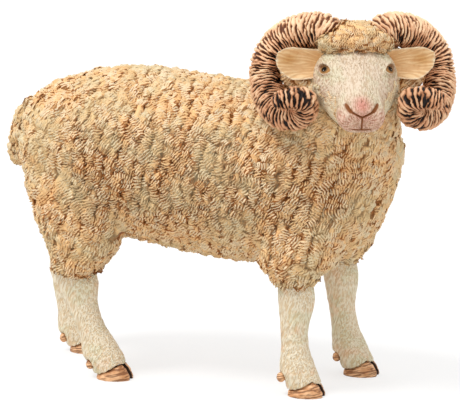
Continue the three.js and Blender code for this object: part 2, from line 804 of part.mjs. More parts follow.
const legNames = Object.keys(legPlaces);
const legRoom = legNames.map((name) => loft(grown(legRings(legPlaces[name]), SEAM), LIMB_SIDES));
const tailRoom = loft(grown(tailRings(), SEAM), SMALL_SIDES);
const wool = legNames.map((name) => woolOn(legPlaces[name]));
const fleece = joined([barrelSolid(), neckSolid(), ruffSolid(), ...wool]);
addPart(
  "torso_fleece",
  without(fleece, [...legRoom, tailRoom, headRoom, pollSolid(SEAM), ...hornRoom, ...earRoom]),
  materials.fleece,
);
addPart("tail", loft(tailRings(), SMALL_SIDES), materials.fleece);

const headBody = joined([loft(headRings(), HEAD_SIDES), loft(spigotRings(), LIMB_SIDES)]);
const lineRoom = sideNames.flatMap((side) => faceLines.map((line) => faceLineSolid(line, signs[side])));
addPart("head", without(headBody, [...hornRoom, ...earRoom, ...eyeRoom, ...lineRoom]), materials.skin);
addPart("poll_wool", without(pollSolid(0), [headRoom, ...hornRoom, ...earRoom]), materials.fleece);

for (const side of sideNames) {
  const sign = signs[side];
  addPart(`${side}_horn`, loft(hornRings(sign), HORN_SIDES), materials.horn);
  addPart(`${side}_ear`, without(earSolid(sign), hornRoom), materials.ear);
  addPart(`${side}_eye`, eyeSolid(sign, 0), materials.eye);
}

for (const name of legNames) {
  const place = legPlaces[name];
  const feet = sideNames.flatMap((side) => [
    clawSolid(place, signs[side], SEAM),
    dewclawSolid(place, signs[side], SEAM),
  ]);
  addPart(`${name}_leg`, without(loft(legRings(place), LIMB_SIDES), feet), materials.skin);
  for (const side of sideNames) {
    addPart(`${name}_claw_${side}`, clawSolid(place, signs[side], 0), materials.hoof);
    addPart(`${name}_dewclaw_${side}`, dewclawSolid(place, signs[side], 0), materials.hoof);
  }
}

// The origin is on the ground, under the middle of the figure's box.
const box = new THREE.Box3().setFromObject(figure);
const middle = box.getCenter(new THREE.Vector3());
figure.position.set(-middle.x, -middle.y, -box.min.z);

const ram = new THREE.Group();
ram.add(figure);

export default ram;
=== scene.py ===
"""The looks of a toy ram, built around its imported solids. Sizes in the classes are in millimetres."""

from __future__ import annotations

import logging
import math
from collections.abc import Sequence
from dataclasses import dataclass, field
from enum import Enum
from typing import Any

import bmesh
import bpy
import numpy as np
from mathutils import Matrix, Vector
from mathutils.bvhtree import BVHTree


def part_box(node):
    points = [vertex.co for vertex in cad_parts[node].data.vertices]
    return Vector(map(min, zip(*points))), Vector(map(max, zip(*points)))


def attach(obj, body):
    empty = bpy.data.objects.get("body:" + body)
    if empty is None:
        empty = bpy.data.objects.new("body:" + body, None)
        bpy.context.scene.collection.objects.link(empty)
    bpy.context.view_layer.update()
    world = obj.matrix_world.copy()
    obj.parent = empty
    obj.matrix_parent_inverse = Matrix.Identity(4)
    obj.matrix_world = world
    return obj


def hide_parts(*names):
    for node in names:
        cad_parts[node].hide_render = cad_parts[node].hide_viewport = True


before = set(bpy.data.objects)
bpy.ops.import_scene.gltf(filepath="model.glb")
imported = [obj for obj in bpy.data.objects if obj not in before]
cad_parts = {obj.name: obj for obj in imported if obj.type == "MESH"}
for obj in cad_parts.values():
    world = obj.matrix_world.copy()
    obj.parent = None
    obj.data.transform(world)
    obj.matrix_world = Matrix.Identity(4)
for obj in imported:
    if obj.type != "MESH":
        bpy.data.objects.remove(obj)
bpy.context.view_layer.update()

Pair = tuple[float, float]
Triple = tuple[float, float, float]
MM = 0.001
BODY = "root"
UP = np.array([0.0, 0.0, 1.0])
# The barrel's middle lies to the left of the frame's middle.
MIDLINE = 3.66
# Two points nearer than this are one.
SAME_PLACE = 0.002
# Farther than anything in the frame.
BEYOND = 1000.0
# These make the chances of neighbouring ropes and pieces unlike.
SHUFFLE = (127.1, 311.7)
SHUFFLE_SCALE = 4375.85
log = logging.getLogger("ram")


class Slot(Enum):
    """The record's material slots."""

    FLEECE = "fleece"
    SKIN = "skin"
    HORN = "horn"
    HOOF = "hoof"
    EAR = "ear"
    EYE = "eye"


class Side(Enum):
    """A side of the animal, with the sign of its direction to the left."""

    RIGHT = -1
    LEFT = 1

    @property
    def word(self) -> str:
        """The side's word in the names of the nodes."""
        return self.name.lower()


def tone(code: str) -> tuple[float, float, float, float]:
    """A colour as the shader wants it.

    Args:
        code: the colour as six hexadecimal digits, as it should look.

    Returns:
        Linear red, green, blue and an alpha of 1.
    """
    parts = [int(code[i : i + 2], 16) / 255 for i in (0, 2, 4)]
    linear = [c / 12.92 if c <= 0.04045 else ((c + 0.055) / 1.055) ** 2.4 for c in parts]
    return (linear[0], linear[1], linear[2], 1.0)


@dataclass(frozen=True)
class Patches:
    """Soft patches of another tint: their size, their edges in the noise and how strong they are."""

    size: float
    low: float
    high: float
    share: float = 1.0
    detail: float = 2.0
    rough: float = 0.5
    shift: Triple | None = None


class Wire:
    """A node's output that can be used in sums."""

    def __init__(self, board: Board, socket: bpy.types.NodeSocket) -> None:
        """Keeps the board that the socket is on."""
        self.board = board
        self.socket = socket

    def also(self, name: str) -> Wire:
        """Another output of the same node."""
        return Wire(self.board, self.socket.node.outputs[name])

    def sum_node(self, operation: str, *values: Any) -> Wire:
        """A Math node on the given values."""
        return self.board.node("ShaderNodeMath", {"operation": operation}, dict(enumerate(values)))

    def __add__(self, other: Any) -> Wire:
        """This plus other."""
        return self.sum_node("ADD", self, other)

    def __radd__(self, other: Any) -> Wire:
        """Other plus this."""
        return self.sum_node("ADD", other, self)

    def __sub__(self, other: Any) -> Wire:
        """This less other."""
        return self.sum_node("SUBTRACT", self, other)

    def __rsub__(self, other: Any) -> Wire:
        """Other less this."""
        return self.sum_node("SUBTRACT", other, self)

    def __mul__(self, other: Any) -> Wire:
        """This times other."""
        return self.sum_node("MULTIPLY", self, other)

    def __rmul__(self, other: Any) -> Wire:
        """Other times this."""
        return self.sum_node("MULTIPLY", other, self)

    def __truediv__(self, other: Any) -> Wire:
        """This divided by other."""
        return self.sum_node("DIVIDE", self, other)


class Board:
    """A node tree that is written as expressions."""

    def __init__(self, tree: bpy.types.NodeTree) -> None:
        """Starts on an empty tree."""
        self.tree = tree
        tree.nodes.clear()

    def node(
        self,
        kind: str,
        settings: dict[str, Any] | None = None,
        values: dict[int | str, Any] | None = None,
        out: int | str = 0,
    ) -> Wire:
        """Adds one node.

        Args:
            kind: the node's type.
            settings: its properties, set first.
            values: what its sockets get, by place or name: a number, a vector or a wire.
            out: the output to return.

        Returns:
            That output.
        """
        made = self.tree.nodes.new(kind)
        for key, value in (settings or {}).items():
            setattr(made, key, value)
        for key, value in (values or {}).items():
            if isinstance(value, Wire):
                self.tree.links.new(value.socket, made.inputs[key])
            else:
                made.inputs[key].default_value = value
        return Wire(self, made.outputs[out] if made.outputs else None)

    def step(self, value: Wire, low: float, high: float) -> Wire:
        """Rises smoothly from 0 at low to 1 at high."""
        settings = {"interpolation_type": "SMOOTHSTEP"}
        return self.node("ShaderNodeMapRange", settings, {0: value, 1: low, 2: high})

    def vector_sum(self, operation: str, *values: Any) -> Wire:
        """A Vector Math node on the given values."""
        return self.node("ShaderNodeVectorMath", {"operation": operation}, dict(enumerate(values)))


class Paint(Board):
    """A material whose patterns are measured in millimetres on the object."""

    def __init__(self, name: str) -> None:
        """Makes the material, and the place that its patterns read.

        Args:
            name: the material's name.
        """
        self.material = bpy.data.materials.new(name)
        self.material.use_nodes = True
        super().__init__(self.material.node_tree)
        spot = self.node("ShaderNodeTexCoord", out="Object")
        scaled = {"operation": "SCALE"}
        self.place = self.node("ShaderNodeVectorMath", scaled, {0: spot, "Scale": 1 / MM})

    def parts(self) -> tuple[Wire, Wire, Wire]:
        """The three numbers of the place."""
        x = self.node("ShaderNodeSeparateXYZ", None, {0: self.place})
        return x, x.also("Y"), x.also("Z")

    def noise(self, size: float, detail: float, vector: Wire | None = None, rough: float = 0.5) -> Wire:
        """Noise from 0 to 1 whose patches are about size across."""
        values = {"Vector": vector or self.place, "Scale": 1 / size, "Detail": detail, "Roughness": rough}
        return self.node("ShaderNodeTexNoise", None, values)

    def patches(self, look: Patches) -> Wire:
        """How much of another tint each place gets.

        Args:
            look: the size, edges and strength of the patches.

        Returns:
            A number from 0 to the patches' share.
        """
        place = self.vector_sum("ADD", self.place, look.shift) if look.shift else self.place
        noise = self.noise(look.size, look.detail, place, look.rough)
        return self.step(noise, look.low, look.high) * look.share

    def stored(self, name: str, out: str = "Fac") -> Wire:
        """A value that the mesh keeps at its points."""
        return self.node("ShaderNodeAttribute", {"attribute_name": name}, out=out)

    def mix(self, share: Wire | float, first: Any, second: Any, blend: str = "MIX") -> Wire:
        """A colour between first at 0 and second at 1."""
        settings = {"data_type": "RGBA", "blend_type": blend}
        return self.node("ShaderNodeMix", settings, {0: share, 6: first, 7: second}, out=2)

    def bump(self, height: Wire, depth: float, strength: float = 1.0) -> Wire:
        """A normal that follows a height from 0 to 1, depth deep."""
        values = {"Strength": strength, "Distance": depth * MM, "Height": height}
        return self.node("ShaderNodeBump", None, values)

    def finish(
        self,
        colour: Any,
        roughness: Wire | float,
        normal: Wire | None = None,
        coat: float = 0.0,
        specular: float = 0.3,
    ) -> bpy.types.Material:
        """Joins the shader.

        Args:
            colour: the base colour.
            roughness: a number or a wire.
            normal: a bumped normal.
            coat: the weight of a glossy coat.
            specular: the strength of the surface's own gloss.

        Returns:
            The material.
        """
        values: dict[int | str, Any] = {
            "Base Color": colour,
            "Roughness": roughness,
            "Specular IOR Level": specular,
            "Coat Weight": coat,
            "Coat Roughness": 0.12,
        }
        if normal is not None:
            values["Normal"] = normal
        shader = self.node("ShaderNodeBsdfPrincipled", None, values)
        self.node("ShaderNodeOutputMaterial", None, {"Surface": shader})
        return self.material


class Recipe(Board):
    """A Geometry Nodes tree with named inputs, which is put on a piece as a modifier."""

    def __init__(self, name: str, inputs: dict[str, str]) -> None:
        """Makes the tree.

        Args:
            name: the tree's name.
            inputs: the name and the socket type of each input after the geometry.
        """
        super().__init__(bpy.data.node_groups.new(name, "GeometryNodeTree"))
        sides = [("Geometry", "Geometry", "INPUT"), *((n, k, "INPUT") for n, k in inputs.items())]
        for label, kind, way in [*sides, ("Geometry", "Geometry", "OUTPUT")]:
            self.tree.interface.new_socket(label, in_out=way, socket_type=f"NodeSocket{kind}")
        self.entry = self.node("NodeGroupInput")

    def given(self, name: str) -> Wire:
        """The input of that name."""
        return self.entry.also(name)

    def ends(self, geometry: Wire) -> None:
        """Realizes what was made, gives it its material and sends it out.

        Args:
            geometry: what the tree has made.
        """
        real = self.node("GeometryNodeRealizeInstances", None, {0: geometry})
        values = {"Geometry": real, "Material": self.given("Finish")}
        self.node("NodeGroupOutput", None, {0: self.node("GeometryNodeSetMaterial", None, values)})

    def put_on(self, piece: bpy.types.Object, values: dict[str, Any]) -> None:
        """Adds the tree to a piece as a modifier.

        Args:
            piece: the object whose mesh the tree works on.
            values: what each named input gets.
        """
        modifier = piece.modifiers.new(self.tree.name, "NODES")
        modifier.node_group = self.tree
        for item in self.tree.interface.items_tree:
            if item.in_out == "INPUT" and item.name in values:
                modifier[item.identifier] = values[item.name]


def linked(name: str, data: bpy.types.ID) -> bpy.types.Object:
    """A new object of the scene that holds a mesh, a lamp or a camera.

    Args:
        name: the object's name.
        data: the mesh, lamp or camera.

    Returns:
        The object.
    """
    made = bpy.data.objects.new(name, data)
    bpy.context.scene.collection.objects.link(made)
    return made


def shade_smooth(mesh: bpy.types.Mesh) -> None:
    """Lets the light run smoothly over a mesh's edges."""
    mesh.polygons.foreach_set("use_smooth", np.ones(len(mesh.polygons), bool))


def around(count: int) -> np.ndarray:
    """The angles of count points, spaced evenly round a circle."""
    return np.linspace(0, 2 * math.pi, count, endpoint=False)


def quarter(count: int) -> np.ndarray:
    """The angles that part a quarter turn into count steps, without its two ends."""
    return np.linspace(0, math.pi / 2, count + 1)[1:-1]


def new_piece(name: str, points: np.ndarray, faces: list[np.ndarray]) -> bpy.types.Object:
    """A smooth mesh object whose faces point outwards.

    Args:
        name: the object's name.
        points: its points in millimetres.
        faces: arrays of corners, one row for each face.

    Returns:
        The object, linked to the scene.
    """
    mesh = bpy.data.meshes.new(name)
    mesh.from_pydata((points * MM).tolist(), [], [f for rows in faces for f in rows.tolist()])
    volume = 0.0
    for rows in faces:
        corners = points[rows]
        for i in range(1, rows.shape[1] - 1):
            volume += float(np.einsum("ij,ij->", corners[:, 0], np.cross(corners[:, i], corners[:, i + 1])))
    if volume < 0:
        mesh.flip_normals()
    shade_smooth(mesh)
    mesh.update()
    return linked(name, mesh)


def tube_faces(rings: int, sides: int) -> list[np.ndarray]:
    """Faces that join rings of points, and close both ends at a pole.

    Args:
        rings: how many rings there are.
        sides: how many points each has.

    Returns:
        The quads, and the triangles at the two poles, which are the last two points.
    """
    ring, side = np.meshgrid(np.arange(rings - 1), np.arange(sides), indexing="ij")
    a = (ring * sides + side).ravel()
    b = (ring * sides + (side + 1) % sides).ravel()
    quads = np.stack([a, b, b + sides, a + sides], axis=1)
    one = np.arange(sides)
    two = (one + 1) % sides
    top = (rings - 1) * sides
    start = np.stack([np.full(sides, rings * sides), two, one], axis=1)
    end = np.stack([np.full(sides, rings * sides + 1), top + one, top + two], axis=1)
    return [quads, np.concatenate([start, end])]


def copy_of(name: str, *nodes: str) -> bpy.types.Object:
    """A closed copy of solids of the frame, with their doubled corners merged.

    Args:
        name: the copy's name.
        nodes: the solids that it copies, as one mesh.

    Returns:
        The copy, linked to the scene.
    """
    work = bmesh.new()
    for node in nodes:
        work.from_mesh(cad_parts[node].data)
    bmesh.ops.remove_doubles(work, verts=work.verts, dist=SAME_PLACE * MM)
    mesh = bpy.data.meshes.new(name)
    work.to_mesh(mesh)
    work.free()
    return linked(name, mesh)


def settle(piece: bpy.types.Object) -> None:
    """Makes what the piece's modifiers give its own plain mesh.

    Args:
        piece: the object, whose modifiers are then taken off.
    """
    graph = bpy.context.evaluated_depsgraph_get()
    made = piece.evaluated_get(graph)
    mesh = bpy.data.meshes.new_from_object(made, preserve_all_data_layers=True, depsgraph=graph)
    piece.modifiers.clear()
    piece.data = mesh
    shade_smooth(mesh)
    mesh.update()


def resculpt(piece: bpy.types.Object, voxel: float, rounds: int) -> None:
    """Gives a piece small even faces and rounds its facets off.

    Args:
        piece: the object to change.
        voxel: how large the faces get.
        rounds: how many times they are smoothed.
    """
    remesh = piece.modifiers.new("Even", "REMESH")
    remesh.mode = "VOXEL"
    remesh.voxel_size = voxel * MM
    smooth = piece.modifiers.new("Soft", "SMOOTH")
    smooth.factor = 0.5
    smooth.iterations = rounds
    settle(piece)


def points_of(piece: bpy.types.Object) -> np.ndarray:
    """A piece's points in millimetres.

    Args:
        piece: the object whose mesh is read.

    Returns:
        One row for each point.
    """
    flat = np.zeros(len(piece.data.vertices) * 3)
    piece.data.vertices.foreach_get("co", flat)
    return flat.reshape(-1, 3) / MM


def normals_of(piece: bpy.types.Object) -> np.ndarray:
    """The direction that each point of a piece faces.

    Args:
        piece: the object whose mesh is read.

    Returns:
        One row for each point.
    """
    flat = np.zeros(len(piece.data.vertices) * 3)
    piece.data.vertex_normals.foreach_get("vector", flat)
    return flat.reshape(-1, 3)


def move_to(piece: bpy.types.Object, points: np.ndarray) -> None:
    """Puts a piece's points at places in millimetres."""
    piece.data.vertices.foreach_set("co", (points * MM).ravel())
    piece.data.update()


def keep(piece: bpy.types.Object, name: str, values: np.ndarray) -> None:
    """Stores a number or a vector at each point of a piece.

    Args:
        piece: the object whose mesh gets them.
        name: the name that paints and trees read them by.
        values: one number or one row for each point.
    """
    kind, key = ("FLOAT_VECTOR", "vector") if values.ndim > 1 else ("FLOAT", "value")
    layer = piece.data.attributes.new(name, kind, "POINT")
    layer.data.foreach_set(key, values.astype(np.float32).ravel())


def unit(vectors: np.ndarray) -> np.ndarray:
    """The vectors with a length of 1."""
    return vectors / np.maximum(np.linalg.norm(vectors, axis=-1, keepdims=True), 1e-9)


def ramp(values: np.ndarray, low: float, high: float) -> np.ndarray:
    """Rises smoothly from 0 at low to 1 at high."""
    share = np.clip((values - low) / (high - low), 0, 1)
    return share * share * (3 - 2 * share)


def bell(values: np.ndarray, middle: float, width: float | np.ndarray) -> np.ndarray:
    """1 at the middle, and falling smoothly to nothing over about twice the width."""
    return np.exp(-(((values - middle) / width) ** 2))


def level(along: np.ndarray, up: np.ndarray) -> np.ndarray:
    """How far up and back on the head a spot lies, from its face coordinates."""
    return 0.78 * up - 0.62 * along


def cheekward(along: np.ndarray, left: np.ndarray, up: np.ndarray) -> np.ndarray:
    """How far out and down on a cheek a spot lies, from its face coordinates."""
    return np.abs(left) - 0.95 * level(along, up)


def folded(spots: np.ndarray) -> np.ndarray:
    """Face coordinates with both sides laid on the left one.

    Args:
        spots: face coordinates.

    Returns:
        A copy, in which none lies to the right.
    """
    both = spots.copy()
    both[:, 1] = np.abs(both[:, 1])
    return both


def swept(comb: np.ndarray, normals: np.ndarray, angle: np.ndarray) -> np.ndarray:
    """The combed ways turned by an angle on the skin."""
    return comb * np.cos(angle)[:, None] + np.cross(normals, comb) * np.sin(angle)[:, None]


def drift(points: np.ndarray, size: float, seed: int) -> np.ndarray:
    """A smooth random number, mostly from -1 to 1, that changes over about size.

    Args:
        points: where it is wanted, in millimetres.
        size: how far apart its rises and falls are.
        seed: which of the patterns it is.

    Returns:
        One number for each point.
    """
    waves = 12
    random = np.random.default_rng(seed)
    total = np.zeros(len(points))
    for _ in range(waves):
        way = unit(random.normal(size=3)) * (2 * math.pi / size) * random.uniform(0.6, 1.5)
        total += np.sin(points @ way + random.uniform(0, 2 * math.pi))
    return total / math.sqrt(waves)


def ropes(across: np.ndarray, along: np.ndarray, seed: int) -> tuple[np.ndarray, ...]:
    """Side by side ropes that are broken into pieces.

    Args:
        across: the place across the ropes, with each rope one wide.
        along: the place along them, with each piece one long.
        seed: which of the patterns it is.

    Returns:
        How near the rope's edge and the piece's end each place is, from 0 to 1, and the piece's own
        random number.
    """

    def chance(*numbers: np.ndarray) -> np.ndarray:
        """A number from 0 to 1 that belongs to these whole numbers."""
        total = sum(n * k for n, k in zip(numbers, SHUFFLE)) + seed
        return np.modf(np.abs(np.sin(total)) * SHUFFLE_SCALE)[0]

    row = np.floor(across)
    place = along + 7 * chance(row)
    piece = np.floor(place)
    return np.abs(2 * (across - row) - 1), np.abs(2 * (place - piece) - 1), chance(row, piece)


def smooth_rows(rows: tuple, places: np.ndarray) -> np.ndarray:
    """A table read along a smooth curve through its rows.

    Args:
        rows: the first column is the place, the others are values.
        places: where the table is read.

    Returns:
        One row of values for each place.
    """
    table = np.array(rows, float)
    x, y = table[:, 0], table[:, 1:]
    slope = np.gradient(y, x, axis=0)
    i = np.clip(np.searchsorted(x, places, side="right") - 1, 0, len(x) - 2)
    width = (x[i + 1] - x[i])[:, None]
    t = (places - x[i])[:, None] / width
    start, end = y[i], y[i + 1]
    rise = slope[i] * width * t * (1 - t) ** 2 - slope[i + 1] * width * t * t * (1 - t)
    return start + (end - start) * t * t * (3 - 2 * t) + rise


def dress(piece: bpy.types.Object, slot: Slot, material: bpy.types.Material, *nodes: str) -> None:
    """Gives a finished piece its material and its place in the frame.

    Args:
        piece: the finished piece.
        slot: the finish that it takes in the record; not used.
        material: its material.
        nodes: the solids of the frame that it stands for.
    """
    piece.data.materials.clear()
    piece.data.materials.append(material)
    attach(piece, BODY)
    if nodes:
        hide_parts(*nodes)
    log.info("%s: %d faces", piece.name, len(piece.data.polygons))


@dataclass(frozen=True)
class FaceFrame:
    """The head's own axes, found from the places of its two eyes."""

    middle: np.ndarray
    forward: np.ndarray
    left: np.ndarray
    nod: float = math.radians(28)
    eye_ahead: float = 0.26
    eye_rise: float = 3.234

    @classmethod
    def from_eyes(cls) -> FaceFrame:
        """Reads the eyes' boxes in the frame.

        Returns:
            The axes, with their middle inside the skull.
        """
        right, left = (np.array(sum(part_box(f"{side.word}_eye"), Vector())) / 2 / MM for side in Side)
        across = unit((left - right) * np.array([1, 1, 0]))
        forward = np.cross(across, UP)
        made = cls(np.zeros(3), forward, across)
        eyes = (left + right) / 2
        return cls(eyes - made.eye_ahead * made.along - made.eye_rise * made.rise, forward, across)

    @property
    def along(self) -> np.ndarray:
        """The way the nose points."""
        return self.forward * math.cos(self.nod) - UP * math.sin(self.nod)

    @property
    def rise(self) -> np.ndarray:
        """Out of the forehead, square to the nose's way and to the left."""
        return np.cross(self.along, self.left)

    @property
    def axes(self) -> np.ndarray:
        """The ways of the face coordinates, one in each row."""
        return np.stack([self.along, self.left, self.rise])

    def on_face(self, spots: np.ndarray) -> np.ndarray:
        """Points given along the nose, to the left and out of the forehead."""
        return self.middle + np.asarray(spots) @ self.axes

    def spots_of(self, points: np.ndarray) -> np.ndarray:
        """The other way round: points as along, left and out of the forehead."""
        return (points - self.middle) @ self.axes.T

    def on_head(self, spots: np.ndarray) -> np.ndarray:
        """Points given forward, to the left and up, for what doesn't nod with the nose."""
        return self.middle + np.asarray(spots) @ np.stack([self.forward, self.left, UP])


@dataclass(frozen=True)
class FleeceFinish:
    """Moulded wool: cream crests, with a tan wash that has settled in the grooves and between the ropes, and
    painted shade on the body's flanks.
    """

    light: str = "fee6c0"
    middle: str = "f9ce95"
    groove: str = "a8682e"
    deep: str = "5c3412"
    straw: str = "d6cfa4"
    amber: str = "ffddb6"
    grain: float = 0.5
    unevenness: float = 0.35
    stained: float = 0.23
    worn: Pair = (0.16, 0.53)
    darkened: float = 0.25
    dark: Pair = (0.08, 0.45)
    straw_patches: Patches = Patches(7.0, 0.43, 0.65, 0.34, 3.0, 0.55)
    amber_patches: Patches = Patches(4.2, 0.5, 0.66, 0.25, shift=(31.0, 7.0, 3.0))
    relief: float = 0.08
    roughness: float = 0.62

    def material(self, name: str) -> bpy.types.Material:
        """The paint, which reads the height of each lock's crests.

        Args:
            name: the material's name.

        Returns:
            The material.
        """
        paint = Paint(name)
        crest, luck, hollow = (paint.stored(mark) for mark in ("crest", "luck", "hollow"))
        fine = paint.noise(self.grain, 2.0, rough=0.6)
        # hollow darkens the wash between the ropes and carries the painted shade of the flanks.
        worn = crest + (fine - 0.5) * self.unevenness - hollow * self.stained
        dark = paint.step(fine - hollow * self.darkened, *self.dark)
        low = paint.mix(dark, tone(self.deep), tone(self.groove))
        top = paint.mix(paint.step(luck, 0.0, 1.0), tone(self.middle), tone(self.light))
        colour = paint.mix(paint.step(worn, *self.worn), low, top)
        colour = paint.mix(paint.patches(self.straw_patches), colour, tone(self.straw))
        colour = paint.mix(paint.patches(self.amber_patches), colour, tone(self.amber), "MULTIPLY")
        return paint.finish(colour, self.roughness, paint.bump(fine, self.relief, 0.8), specular=0.25)


@dataclass
class WoolLocks:
    """The raised locks of the wool: each is a small sheet of parallel strands whose edges dive in.

    The ranges from reach to fade are how much the locks differ from each other.
    """

    width: float = 2.3
    length: float = 1.75
    strands: int = 4
    rows: int = 6
    ridge: float = 0.28
    height: float = 0.1
    sink: float = 0.14
    arch: float = 0.26
    wave: float = 0.07
    reach: Pair = (0.62, 1.15)
    uneven_point: float = 0.4
    uneven_strand: float = 0.5
    slide: float = 0.2
    bend: float = 0.42
    waves: Pair = (2.0, 4.0)
    phase: float = 6.3
    splay: float = 0.12
    jitter: float = 0.05
    fade: Pair = (0.7, 1.1)
    variants: int = 20
    seed: int = 5

    def sheet(self, random: np.random.Generator) -> tuple[np.ndarray, np.ndarray, np.ndarray]:
        """The points, faces and crest heights of one lock.

        Args:
            random: what draws its chances.

        Returns:
            The points, the four corners of each face, and how high on a crest each point is.
        """

        def either_way(most: float, shape: tuple[int, ...] | None = None) -> Any:
            """Random numbers from -most to most."""
            return random.uniform(-most, most, shape)

        columns = 2 * self.strands + 1
        each = (columns, 1)
        across, down = np.meshgrid(np.linspace(-1, 1, columns), np.linspace(-1, 1, self.rows), indexing="ij")
        crest = np.broadcast_to((np.arange(columns) % 2)[:, None], across.shape).astype(float)
        reach = random.uniform(*self.reach, columns)[:, None]
        level = either_way(self.uneven_point, across.shape) + either_way(self.uneven_strand, each)
        y = down * reach * self.length / 2 + either_way(self.slide, each)
        bend = either_way(self.bend)
        wave = self.wave * np.sin(down * random.uniform(*self.waves) + random.uniform(0, self.phase))
        x = across * self.width / 2 + wave + bend * y**2 + either_way(self.splay, each) * y
        x += either_way(self.jitter, across.shape)
        dome = (1 - np.abs(down) ** 3) * (1 - np.abs(across) ** 3.5)
        strand = (crest * 2 - 1 + level) * self.ridge * dome**0.4
        z = (self.sink + self.height) * dome - self.sink - self.arch * y**2 + strand
        points = np.stack([x, y, z], axis=-1).reshape(-1, 3)
        i, j = np.meshgrid(np.arange(columns - 1), np.arange(self.rows - 1), indexing="ij")
        a = (i * self.rows + j).ravel()
        faces = np.stack([a, a + self.rows, a + self.rows + 1, a + 1], axis=1)
        crest = crest * np.clip(dome * 1.8, 0, 1) * random.uniform(*self.fade, each)
        return points, faces, crest.ravel()

    def templates(self) -> bpy.types.Collection:
        """A collection of different locks, which is out of the scene.

        Returns:
            The collection, with one object for each variant.
        """
        random = np.random.default_rng(self.seed)
        shelf = bpy.data.collections.new("locks")
        for i in range(self.variants):
            points, faces, crest = self.sheet(random)
            mesh = bpy.data.meshes.new(f"lock_{i}")
            mesh.from_pydata((points * MM).tolist(), [], faces.tolist())
            shade_smooth(mesh)
            lock = bpy.data.objects.new(f"lock_{i}", mesh)
            keep(lock, "crest", crest)
            shelf.objects.link(lock)
        return shelf

    def recipe(self) -> Recipe:
        """The tree that lays locks over a skin along its flow.

        Returns:
            The tree, which each coat puts on its skin.
        """
        sizes = ("Spacing", "Smallest", "Largest", "Turn", "Lean", "From", "To")
        inputs = {"Locks": "Collection", **dict.fromkeys(sizes, "Float"), "Seed": "Int", "Finish": "Material"}
        made = Recipe("wool_locks", inputs)

        def between(low: Any, high: Any, seed: int) -> Wire:
            """A random number for each lock."""
            return made.node("FunctionNodeRandomValue", None, {2: low, 3: high, "Seed": seed}, out=1)

        def either_way(name: str, seed: int) -> Wire:
            """A random number from the input's negative to the input."""
            return between(made.given(name) * -1.0, made.given(name), seed)

        stored = "GeometryNodeInputNamedAttribute"
        cover = made.node(stored, {"data_type": "FLOAT"}, {"Name": "cover"})
        flow = made.node(stored, {"data_type": "FLOAT_VECTOR"}, {"Name": "flow"})
        spread = made.node(
            "GeometryNodeDistributePointsOnFaces",
            {"distribute_method": "POISSON"},
            {
                "Mesh": made.given("Geometry"),
                "Distance Min": made.given("Spacing"),
                "Density Max": 3.0e6,
                "Density Factor": cover,
                "Seed": made.given("Seed"),
            },
        )
        x = made.node("ShaderNodeSeparateXYZ", None, {0: made.node("GeometryNodeInputPosition")})
        outside = []
        for way, end in (("LESS_THAN", "From"), ("GREATER_EQUAL", "To")):
            compare = {"data_type": "FLOAT", "operation": way}
            outside.append(made.node("FunctionNodeCompare", compare, {0: x, 1: made.given(end)}))
        either = made.node("FunctionNodeBooleanMath", {"operation": "OR"}, dict(enumerate(outside)))
        kept = made.node("GeometryNodeDeleteGeometry", {"domain": "POINT"}, {0: spread, 1: either})
        turns = {0: either_way("Lean", 12), 1: either_way("Lean", 13), 2: either_way("Turn", 11)}
        upright = made.node(
            "FunctionNodeAxesToRotation",
            {"primary_axis": "Z", "secondary_axis": "Y"},
            {0: spread.also("Normal"), 1: flow},
        )
        turned = made.node(
            "FunctionNodeRotateRotation",
            {"rotation_space": "LOCAL"},
            {0: upright, 1: made.node("ShaderNodeCombineXYZ", None, turns)},
        )
        shelf = made.node("GeometryNodeCollectionInfo", None, {0: made.given("Locks"), 1: True, 2: True})
        which = {4: 0, 5: self.variants - 1, "Seed": 21}
        laid = made.node(
            "GeometryNodeInstanceOnPoints",
            None,
            {
                "Points": kept,
                "Instance": shelf,
                "Pick Instance": True,
                "Instance Index": made.node("FunctionNodeRandomValue", {"data_type": "INT"}, which, out=2),
                "Rotation": turned,
                "Scale": between(made.given("Smallest"), made.given("Largest"), 31),
            },
        )
        named = made.node(
            "GeometryNodeStoreNamedAttribute",
            {"domain": "INSTANCE"},
            {"Geometry": laid, "Name": "luck", "Value": between(0.0, 1.0, 41)},
        )
        made.ends(named)
        return made


